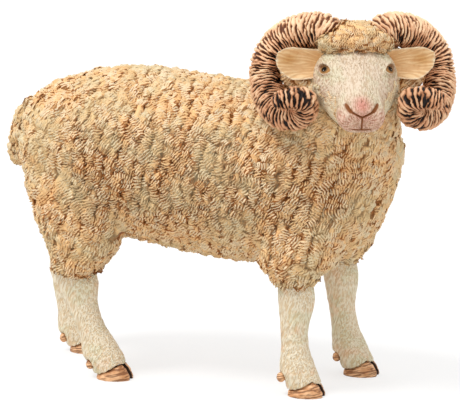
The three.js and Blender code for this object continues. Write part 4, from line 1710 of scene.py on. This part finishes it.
@dataclass(frozen=True)
class EarFinish:
    """Golden cream skin with fine strokes, a pale rim and painted shade in the cupped hollow."""

    inside: str = "fddcaa"
    hollow: str = "e2b273"
    rim: str = "fff0d0"
    stroke: str = "c9965c"
    grain: float = 0.6
    grain_band: Pair = (0.5, 0.75)
    relief: float = 0.04
    roughness: float = 0.55

    def material(self) -> bpy.types.Material:
        """The paint, which reads the ear's rim, the painted shade of its hollow and its strokes.

        Returns:
            The material.
        """
        paint = Paint("painted_ear")
        # The hollow colour is painted shade in the cup and its fold.
        colour = paint.mix(paint.stored("hollow"), tone(self.inside), tone(self.hollow))
        colour = paint.mix(paint.stored("rim"), colour, tone(self.rim))
        colour = paint.mix(paint.stored("stroke"), colour, tone(self.stroke), "MULTIPLY")
        grain = paint.noise(self.grain, 3.0)
        colour = paint.mix(paint.step(grain, *self.grain_band) * 0.25, colour, tone(self.hollow), "MULTIPLY")
        return paint.finish(colour, self.roughness, paint.bump(grain, self.relief, 0.5))


@dataclass
class Ear:
    """One ear: a cupped leaf with a thin pale rim."""

    side: Side
    face: FaceFrame
    root: float = 6.2
    reach: float = 9.7
    ahead: float = -2.2
    thickness: float = 0.55
    cup: float = 1.1
    twist: float = 0.35
    tip_ahead: float = 0.5
    tip_round: float = 0.25
    stroke_height: float = 0.06
    stroke_share: float = 0.42
    along: int = 110
    across: int = 70
    edges: tuple = (
        (0.0, 0.6, 6.7),
        (0.2, 0.9, 6.75),
        (0.38, 0.75, 6.95),
        (0.55, 0.6, 7.1),
        (0.7, 0.85, 7.2),
        (0.82, 1.7, 6.95),
        (0.91, 2.6, 6.5),
        (0.97, 3.5, 6.0),
        (1.0, 4.7, 4.95),
    )

    def strokes(self, left: np.ndarray, z: np.ndarray) -> np.ndarray:
        """Fine strokes from 0 to 1 that fan out from the ear's root.

        Args:
            left: how far out each point lies.
            z: how high each point lies.

        Returns:
            One number for each point.
        """
        fan = np.arctan2(z - 3.4, left - self.root + 3.5)
        flat = np.stack([fan * 9.0, left * 0.4, np.zeros_like(z)], axis=-1).reshape(-1, 3)
        rows = np.sin(fan * 88 + 1.6 * drift(flat, 1.5, 51).reshape(fan.shape))
        return (0.5 + 0.5 * rows) * ramp(drift(flat, 1.1, 52), -1.0, 0.3).reshape(fan.shape)

    def build(self) -> bpy.types.Object:
        """The leaf, closed round its rim.

        Returns:
            The piece, not dressed yet.
        """
        share = (1 - (1 - np.linspace(0, 1, self.along)) ** 1.6)[:, None]
        low, high = (edge[:, None] for edge in smooth_rows(self.edges, share[:, 0]).T)
        turn = around(2 * self.across)
        v, front = np.cos(turn)[None, :], np.sin(turn)[None, :]
        z = (high + low) / 2 + (high - low) / 2 * v
        cup = self.cup * np.sin(share * math.pi * 0.86 + 0.35)
        bowl = -cup * (1 - np.abs(v) ** 2.2) + self.twist * v * share
        skin = self.thickness / 2 * np.sign(front) * np.abs(front) ** 0.6
        skin = np.where(front < 0, skin * (1.0 + 0.9 * (1 - v**2)), skin)
        tip = np.clip((1 - share) * 6, 0, 1) ** 0.5
        left = self.root + self.reach * share - self.tip_round * (1 - v**2) * share**4
        strokes = self.strokes(left, z)
        forward = self.ahead + bowl + skin * tip + self.tip_ahead * share
        forward += self.stroke_height * strokes * np.where(front > 0, 1, -1)
        spots = np.stack([forward, left * self.side.value, z], axis=-1)
        points = self.face.on_head(np.concatenate([spots.reshape(-1, 3), spots[[0, -1]].mean(axis=1)]))
        piece = new_piece(f"{self.side.word}_ear_leaf", points, tube_faces(self.along, 2 * self.across))
        rim = np.clip(ramp(np.abs(v), 0.84, 0.97) + ramp(share, 0.95, 1.0), 0, 1)
        # Painted shade in the cupped hollow near the root and in the fold, on the front face only.
        tuck = np.exp(-(((share - 0.74) / 0.2) ** 2 + ((v - 0.2 + 0.9 * (share - 0.74)) / 0.42) ** 2))
        root = 0.75 * (1 - ramp(share, 0.05, 0.6)) * (1 - np.abs(v - 0.1) ** 2)
        hollow = np.maximum(tuck, root) * (front > 0)
        marks = {"rim": rim, "hollow": hollow, "stroke": self.stroke_share * (1 - strokes)}
        for name, values in marks.items():
            keep(piece, name, np.append(values, [0.0, values[-1, -1]]))
        return piece

    def dress(self, piece: bpy.types.Object, finish: bpy.types.Material) -> None:
        """Paints the ear, which stands for its solid."""
        dress(piece, Slot.EAR, finish, f"{self.side.word}_ear")


@dataclass(frozen=True)
class HornFinish:
    """Pinkish brown ridges with a dark wash in their grooves, deepened by painted shade on the horn's inner,
    lower and outer parts.
    """

    crest: str = "ebb58c"
    worn: str = "ffdcb4"
    tan: str = "b57e56"
    middle: str = "6a3a1e"
    groove: str = "1c0b04"
    shade: str = "b58c68"
    grain: float = 0.45
    unevenness: float = 0.45
    patch: float = 2.2
    patch_band: Pair = (0.2, 0.6)
    dark_wash: Pair = (0.0, 0.55)
    drowned: float = 0.3
    groove_ends: Pair = (0.16, 0.38)
    crest_starts: Pair = (0.38, 0.62)
    relief: float = 0.08
    roughness: float = 0.55

    def material(self) -> bpy.types.Material:
        """The paint, which reads the ridges' height and how much wash and painted shade there is.

        Returns:
            The material.
        """
        paint = Paint("ridged_horn")
        # wash: the dark wash in the grooves, with painted shade on the inner, lower and outer parts of the
        # horn.
        wash = paint.stored("wash")
        fine = paint.noise(self.grain, 4.0, rough=0.65)
        height = paint.stored("crest") + (fine - 0.5) * self.unevenness - wash * self.drowned
        low = paint.mix(paint.step(wash, *self.dark_wash), tone(self.middle), tone(self.groove))
        worn = paint.step(paint.noise(self.patch, 3.0) - wash * 0.25, *self.patch_band)
        top = paint.mix(worn, tone(self.crest), tone(self.worn))
        edge = paint.mix(paint.step(height, *self.groove_ends), low, tone(self.tan))
        colour = paint.mix(paint.step(height, *self.crest_starts), edge, top)
        colour = paint.mix(wash * 0.4, colour, tone(self.shade), "MULTIPLY")
        return paint.finish(colour, self.roughness, paint.bump(fine, self.relief, 0.7))


@dataclass
class Horn:
    """One horn: a thick tube on its curled path, ringed with wavy ridges.

    The path's rows are shares of spread, rise and sweep, and the girth's are places along the
    horn and shares of thickness.
    """

    side: Side
    face: FaceFrame
    spread: float = 17.4
    rise: float = 10.3
    sweep: float = 9.0
    thickness: float = 6.8
    tip: float = 0.2
    pole: float = 0.05
    spacing: float = 0.74
    depth: float = 0.7
    wander: float = 0.95
    rings: int = 440
    cap_rings: int = 12
    sides: int = 150
    samples: int = 3000
    path: tuple = (
        (0.2, 0.84, 0.32),
        (0.33, 0.99, 0.45),
        (0.57, 0.98, 0.67),
        (0.76, 0.82, 0.89),
        (0.94, 0.5, 1.0),
        (1.0, 0.14, 0.94),
        (0.995, -0.21, 0.67),
        (0.925, -0.5, 0.33),
        (0.76, -0.62, -0.04),
        (0.61, -0.49, -0.3),
        (0.62, -0.25, -0.52),
        (0.76, -0.2, -0.62),
        (0.9, -0.25, -0.62),
    )
    girth: tuple = ((0.0, 0.9), (0.15, 0.98), (0.4, 0.96), (0.6, 0.88), (0.75, 0.78), (0.88, 0.7), (1.0, 0.5))
    heart: tuple = (0.7, 0.1, 0.45)
    # Painted shade on the horn's outer, inner and lower parts, and darker towards the curl.
    outer_wash: float = 0.3
    outer_starts: Pair = (0.28, 0.45)
    inner_wash: float = 0.7
    low_wash: float = 0.15
    curl_wash: float = 0.5
    curl_starts: Pair = (0.5, 0.72)

    def placed(self, shares: Sequence[float] | np.ndarray) -> np.ndarray:
        """Shares of spread, rise and sweep as places in the frame.

        Args:
            shares: one row, or one row for each place.

        Returns:
            The places in millimetres.
        """
        out, up, back = np.array(shares).T
        forward, left = -back * self.sweep, self.side.value * out * self.spread
        return self.face.on_head(np.stack([forward, left, up * self.rise], axis=-1))

    def centre_line(self) -> tuple[np.ndarray, np.ndarray]:
        """The middle of each ring, and how far along the horn it is.

        Returns:
            The place of each ring, and its distance along the line from the root.
        """
        knots = self.placed(self.path)
        steps = np.linalg.norm(np.diff(knots, axis=0), axis=1) ** 0.75
        places = np.concatenate([[0.0], np.cumsum(steps)])
        fine = np.linspace(0, places[-1], self.samples)
        line = smooth_rows(tuple(np.column_stack([places, knots]).tolist()), fine)
        run = np.concatenate([[0.0], np.cumsum(np.linalg.norm(np.diff(line, axis=0), axis=1))])
        even = np.linspace(0, run[-1], self.rings)
        return np.stack([np.interp(even, run, line[:, k]) for k in range(3)], axis=1), even

    def wash(self, points: np.ndarray, facing: np.ndarray, share: np.ndarray) -> np.ndarray:
        """How much dark wash and painted shade each point gets: painted shade on the faces that turn to the
        curl's heart, on those that face forward and down, and along the outer horn, with the curl darker too.

        Args:
            points: the horn's points.
            facing: which way each of them faces.
            share: how far along the horn each of them is, from 0 to 1.

        Returns:
            A number from 0 to 1 for each point.
        """
        inward = np.sum(unit(self.placed(self.heart) - points) * facing, axis=1)
        low = ramp(facing @ self.face.forward * 0.6 - facing[:, 2] * 0.2, -0.3, 0.6)
        wash = self.outer_wash * ramp(share, *self.outer_starts) + self.inner_wash * ramp(inward, -0.3, 0.6)
        wash += self.low_wash * low + self.curl_wash * ramp(share, *self.curl_starts)
        return np.clip(wash, 0, 1) * (0.6 + 0.4 * ramp(drift(points, 5.0, 71), -0.8, 0.5))

    def tube(self) -> bpy.types.Object:
        """The smooth horn, with its length, its grooves' wash with painted shade, and its unrolled shape
        stored in it.

        Returns:
            The horn, without its ridges.
        """
        middle, run = self.centre_line()
        way = unit(np.gradient(middle, axis=0))
        across = [unit(np.cross(way[0], [0.3, 0.2, 1.0]))]
        for step in way[1:]:
            across.append(unit(across[-1] - step * (across[-1] @ step)))
        radius = smooth_rows(self.girth, run / run[-1])[:, 0] * self.thickness / 2
        angle = quarter(self.cap_rings)
        beyond = np.sin(angle) * self.tip * self.thickness
        middle = np.concatenate([middle, middle[-1] + beyond[:, None] * way[-1]])
        radius = np.concatenate([radius, radius[-1] * np.cos(angle)])[:, None, None]
        run = np.concatenate([run, run[-1] + beyond])
        side = np.concatenate([across, np.repeat(across[-1:], len(angle), axis=0)])
        way = np.concatenate([way, np.repeat(way[-1:], len(angle), axis=0)])
        turn = around(self.sides)
        cos, sin = np.cos(turn)[None, :, None], np.sin(turn)[None, :, None]
        ring = side[:, None] * cos + np.cross(way, side)[:, None] * sin
        points = (middle[:, None] + ring * radius).reshape(-1, 3)
        points = np.concatenate([points, [middle[0], middle[-1] + way[-1] * self.pole]])
        piece = new_piece(f"{self.side.word}_ridged_horn", points, tube_faces(len(middle), self.sides))
        facing = unit(points - np.concatenate([np.repeat(middle, self.sides, axis=0), middle[[0, -1]]]))
        along = np.append(np.repeat(run, self.sides), [0.0, run[-1]])
        # The wash mark carries painted shade as well as the wash.
        keep(piece, "wash", self.wash(points, facing, along / run[-1]))
        keep(piece, "run", along * MM)
        straight = ((cos * [0, 1, 0] + sin * [0, 0, 1]) * radius).reshape(-1, 3)
        straight = np.concatenate([straight, np.zeros((2, 3))])
        straight[:, 0] = along
        keep(piece, "straight", straight)
        return piece

    @staticmethod
    def recipe() -> Recipe:
        """The tree that raises wavy ridges round a horn.

        Returns:
            The tree, which each horn puts on.
        """
        numbers = ("Spacing", "Depth", "Wander", "Seed")
        made = Recipe("horn_ridges", {**dict.fromkeys(numbers, "Float"), "Finish": "Material"})
        stored = "GeometryNodeInputNamedAttribute"
        run = made.node(stored, {"data_type": "FLOAT"}, {"Name": "run"})
        straight = made.node(stored, {"data_type": "FLOAT_VECTOR"}, {"Name": "straight"})
        scaled = {"operation": "SCALE"}
        place = {0: made.node("GeometryNodeInputPosition"), "Scale": 1 / MM}
        place = made.node("ShaderNodeVectorMath", scaled, place)

        def noise(vector: Wire, size: float, detail: float, shift: float) -> Wire:
            """Noise about 0 in millimetres of the vector."""
            values = {"Vector": vector, "W": made.given("Seed") + shift, "Scale": 1 / size, "Detail": detail}
            return made.node("ShaderNodeTexNoise", {"noise_dimensions": "4D"}, values) - 0.5

        sway = noise(place, 3.2, 2.0, 0.0) * 2.2 + noise(place, 0.9, 1.0, 5.0) * 0.8
        turns = run / made.given("Spacing") + sway * made.given("Wander")
        wave = made.node("ShaderNodeMath", {"operation": "SINE"}, {0: turns * (2 * math.pi)})
        crumple = noise(made.vector_sum("MULTIPLY", straight, (1.5, 0.5, 0.5)), 1.0, 1.5, 33.0)
        ridge = made.step(wave * 0.36 + crumple * 2.8 + 0.62, 0.0, 1.15)
        swell = noise(place, 1.5, 2.0, 21.0)
        lift = (ridge - 0.6 + swell * 0.95) * made.given("Depth")
        normal = made.node("GeometryNodeInputNormal")
        offset = made.node("ShaderNodeVectorMath", scaled, {0: normal, "Scale": lift})
        named = made.node(
            "GeometryNodeStoreNamedAttribute",
            {"domain": "POINT"},
            {"Geometry": made.given("Geometry"), "Name": "crest", "Value": ridge + swell * 0.15},
        )
        made.ends(made.node("GeometryNodeSetPosition", None, {"Geometry": named, "Offset": offset}))
        return made

    def build(self, recipe: Recipe, finish: bpy.types.Material) -> None:
        """Makes the horn and dresses it in place of its solid.

        Args:
            recipe: the tree that raises the ridges.
            finish: the horn's paint.
        """
        piece = self.tube()
        values = {
            "Spacing": self.spacing * MM,
            "Depth": self.depth * MM,
            "Wander": self.wander,
            "Seed": float(self.side.value),
            "Finish": finish,
        }
        recipe.put_on(piece, values)
        settle(piece)
        dress(piece, Slot.HORN, finish, f"{self.side.word}_horn")


@dataclass(frozen=True)
class LegFinish:
    """Cream skin with fine hairs that run down the leg."""

    cream: str = "f2e6cd"
    shade: str = "dcc097"
    sage: str = "e2dfc0"
    blush: str = "f3d0ae"
    sage_patches: Patches = Patches(4.0, 0.45, 0.65, 0.6)
    blush_patches: Patches = Patches(3.1, 0.55, 0.7, 0.5)
    hair: float = 0.3
    hair_slant: float = 0.3
    hair_stretch: float = 0.15
    hair_band: Pair = (0.44, 0.6)
    hair_share: float = 0.6
    relief: float = 0.6
    roughness: float = 0.58

    def material(self) -> bpy.types.Material:
        """The paint, whose hairs are noise drawn out down the leg.

        Returns:
            The material.
        """
        paint = Paint("painted_leg")
        x, y, z = paint.parts()
        slant = z * self.hair_slant
        drawn = {0: x - slant, 1: y + slant, 2: z * self.hair_stretch}
        hair = paint.noise(self.hair, 1.0, paint.node("ShaderNodeCombineXYZ", None, drawn))
        colour = paint.mix(paint.patches(self.sage_patches), tone(self.cream), tone(self.sage))
        colour = paint.mix(paint.patches(self.blush_patches), colour, tone(self.blush))
        worn = paint.step(hair, *self.hair_band) * self.hair_share
        colour = paint.mix(worn, colour, tone(self.shade), "MULTIPLY")
        return paint.finish(colour, self.roughness, paint.bump(1 - hair, self.relief, 0.9))


@dataclass(frozen=True)
class HoofFinish:
    """Brown hoof with a wavy grain along it, and painted shade in the cleft."""

    light: str = "f3c294"
    base: str = "d69c6c"
    dark: str = "784524"
    cleft: str = "38200f"
    light_patches: Patches = Patches(1.6, 0.35, 0.65)
    grain: float = 0.3
    grain_stretch: float = 0.11
    grain_slope: float = 0.22
    grain_band: Pair = (0.49, 0.58)
    grain_share: float = 0.75
    relief: float = 0.12
    roughness: float = 0.5

    def material(self) -> bpy.types.Material:
        """The paint, a grain of wavy lines that run from the coronet to the toe.

        Returns:
            The material.
        """
        paint = Paint("grained_hoof")
        x, y, z = paint.parts()
        drawn = {0: x * self.grain_stretch, 1: y * self.grain_stretch, 2: z - x * self.grain_slope}
        grain = paint.noise(self.grain, 2.0, paint.node("ShaderNodeCombineXYZ", None, drawn))
        line = paint.step(grain, *self.grain_band)
        colour = paint.mix(paint.patches(self.light_patches), tone(self.base), tone(self.light))
        colour = paint.mix(line * self.grain_share, colour, tone(self.dark))
        # Painted shade on the claws' inner faces in the cleft.
        colour = paint.mix(paint.stored("cleft"), colour, tone(self.cleft))
        return paint.finish(colour, self.roughness, paint.bump(1 - line, self.relief, 0.8), specular=0.35)


@dataclass
class Leg:
    """One leg with its hoof: the leg's skin, two claws and two dewclaws."""

    name: str
    voxel: float = 0.22
    claw_voxel: float = 0.13
    hair: float = 0.045
    grain: float = 0.025
    sole: float = 0.25
    grain_above: Pair = (0.2, 0.8)
    parting: float = 0.25
    cleft_reach: float = 0.7
    cleft_ends: Pair = (0.35, 0.85)

    def build(self, skin: bpy.types.Material, hoof: bpy.types.Material) -> None:
        """Makes the leg and its claws in place of their solids.

        Args:
            skin: the leg's paint.
            hoof: the paint of the claws and dewclaws.
        """
        piece = copy_of(f"{self.name}_leg_skin", f"{self.name}_leg")
        resculpt(piece, self.voxel, 8)
        points, normals = points_of(piece), normals_of(piece)
        drawn = points * np.array([1, 1, 0.28])
        move_to(piece, points + normals * (self.hair * drift(drawn, 0.9, 81))[:, None])
        dress(piece, Slot.SKIN, skin, f"{self.name}_leg")
        for side in Side:
            for kind in ("claw", "dewclaw"):
                self.claw(f"{self.name}_{kind}_{side.word}", side if kind == "claw" else None, hoof)

    def claw(self, node: str, side: Side | None, hoof: bpy.types.Material) -> None:
        """Makes one claw or dewclaw in place of its solid.

        Args:
            node: the name of its solid.
            side: which side of the cleft the claw is on, or None for a dewclaw.
            hoof: its paint.
        """
        piece = copy_of(f"{node}_horny", node)
        low, high = (Vector(corner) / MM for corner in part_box(node))
        resculpt(piece, self.claw_voxel, 2)
        points, normals = points_of(piece), normals_of(piece)
        grain = self.grain * drift(points * np.array([0.3, 1.0, 1.0]), 0.8, 91)
        moved = points + normals * (grain * ramp(points[:, 2] - low.z, *self.grain_above))[:, None]
        inner = np.zeros(len(points))
        if side is not None:
            moved[(points[:, 2] < low.z + self.sole) & (normals[:, 2] < -0.6), 2] = low.z
            # inner marks the claw's face in the cleft, which gets painted shade; the claws are also parted
            # there.
            face = low.y if side is Side.LEFT else high.y
            inner = ramp(1 - np.abs(points[:, 1] - face) / self.cleft_reach, *self.cleft_ends)
            moved[:, 1] += self.parting * side.value * inner
        keep(piece, "cleft", inner)
        move_to(piece, moved)
        dress(piece, Slot.HOOF, hoof, node)


@dataclass
class Studio:
    """A pale floor, one soft lamp, an even sky and the camera."""

    turn: float = math.radians(20)
    tilt: float = math.radians(10.5)
    away: float = 420.0
    aim: tuple = (4.511, -6.132, 38.0)
    pixels_per_mm: float = 4.85
    picture: int = 460
    sensor: float = 36.0
    clip: Pair = (0.01, 50.0)
    sky: float = 0.92
    lamp: float = 1.45
    lamp_from: tuple = (-0.42, -0.55, 1.3)
    lamp_size: float = math.radians(18)
    glow: float = 0.645
    floor: float = 3000.0
    floor_colour: tuple = (0.74, 0.72, 0.69, 1)
    floor_seen: tuple = (0.36, 0.36, 0.36, 1)
    white: tuple = (1, 1, 1, 1)

    @staticmethod
    def seen(board: Board, *rays: str) -> Wire:
        """1 to the camera and to the other kinds of ray, else 0.

        Args:
            board: the tree that asks.
            rays: the other kinds, as the Light Path node names them.

        Returns:
            The number.
        """
        camera = board.node("ShaderNodeLightPath", out="Is Camera Ray")
        total = camera
        for ray in rays:
            total = total.sum_node("MAXIMUM", total, camera.also(ray))
        return total

    def stage(self) -> None:
        """The floor, which shows white to the camera and keeps the shadow."""
        half = self.floor * MM
        corners = [(-half, -half, 0), (half, -half, 0), (half, half, 0), (-half, half, 0)]
        mesh = bpy.data.meshes.new("floor")
        mesh.from_pydata(corners, [], [(0, 1, 2, 3)])
        floor = linked("floor", mesh)
        paint = Paint("pale_floor")
        seen = self.seen(paint, "Is Glossy Ray")
        colour = paint.mix(seen, self.floor_colour, self.floor_seen)
        shader = paint.node("ShaderNodeBsdfDiffuse", None, {"Color": colour})
        glow = paint.node("ShaderNodeEmission", None, {"Color": self.white, "Strength": self.glow * seen})
        both = paint.node("ShaderNodeAddShader", None, {0: shader, 1: glow})
        paint.node("ShaderNodeOutputMaterial", None, {"Surface": both})
        mesh.materials.append(paint.material)

    def light(self) -> None:
        """An even sky that looks white, and a wide lamp from the upper left."""
        world = bpy.data.worlds.new("studio")
        world.use_nodes = True
        bpy.context.scene.world = world
        board = Board(world.node_tree)
        strength = self.seen(board, "Is Glossy Ray", "Is Transmission Ray") * (1 - self.sky) + self.sky
        sky = board.node("ShaderNodeBackground", None, {"Color": self.white, "Strength": strength})
        board.node("ShaderNodeOutputWorld", None, {"Surface": sky})
        lamp = bpy.data.lights.new("lamp", "SUN")
        lamp.energy = self.lamp
        lamp.angle = self.lamp_size
        holder = linked("lamp", lamp)
        holder.rotation_euler = Vector(self.lamp_from).to_track_quat("Z", "Y").to_euler()

    def camera(self) -> None:
        """The camera at the photograph's angle."""
        flat = math.cos(self.tilt)
        back = Vector((math.sin(self.turn) * flat, -math.cos(self.turn) * flat, math.sin(self.tilt)))
        lens = bpy.data.cameras.new("camera")
        lens.sensor_width = self.sensor
        lens.lens = self.sensor * self.pixels_per_mm * self.away / self.picture
        lens.clip_start, lens.clip_end = self.clip
        camera = linked("camera", lens)
        camera.location = (Vector(self.aim) + back * self.away) * MM
        camera.rotation_euler = back.to_track_quat("Z", "Y").to_euler()
        bpy.context.scene.camera = camera

    def build(self) -> None:
        """Makes all of it."""
        self.stage()
        self.light()
        self.camera()
        bpy.context.scene.view_settings.view_transform = "Standard"


def main() -> None:
    """Builds the ram piece by piece, and the studio round it."""
    logging.basicConfig(level=logging.INFO, format="%(message)s")
    Studio().build()
    face = FaceFrame.from_eyes()
    woolly = WoolLocks()
    locks, lay = woolly.templates(), woolly.recipe()
    wool = FleeceFinish().material("moulded_wool")
    cheek_finish = FleeceFinish(light="fff2d8", middle="fbe6c0", groove="e0b682", deep="bd8a52")
    cheek_wool = cheek_finish.material("cheek_wool")
    for coat in (BodyCoat(), TailCoat(), PollCoat()):
        coat.build(locks, lay, wool)
    head = Head(face)
    skull = head.build()
    CheekCoat(head=skull).build(locks, lay, cheek_wool)
    head.dress(skull)
    ear_paint, horn_paint = EarFinish().material(), HornFinish().material()
    ridges = Horn.recipe()
    for side in Side:
        eye = Eye(side, head)
        eye.dress(eye.build())
        ear = Ear(side, face)
        ear.dress(ear.build(), ear_paint)
        Horn(side, face).build(ridges, horn_paint)
    leg_paint, hoof_paint = LegFinish().material(), HoofFinish().material()
    for name in ("front_right", "front_left", "rear_right", "rear_left"):
        Leg(name).build(leg_paint, hoof_paint)


if __name__ == "__main__":
    main()
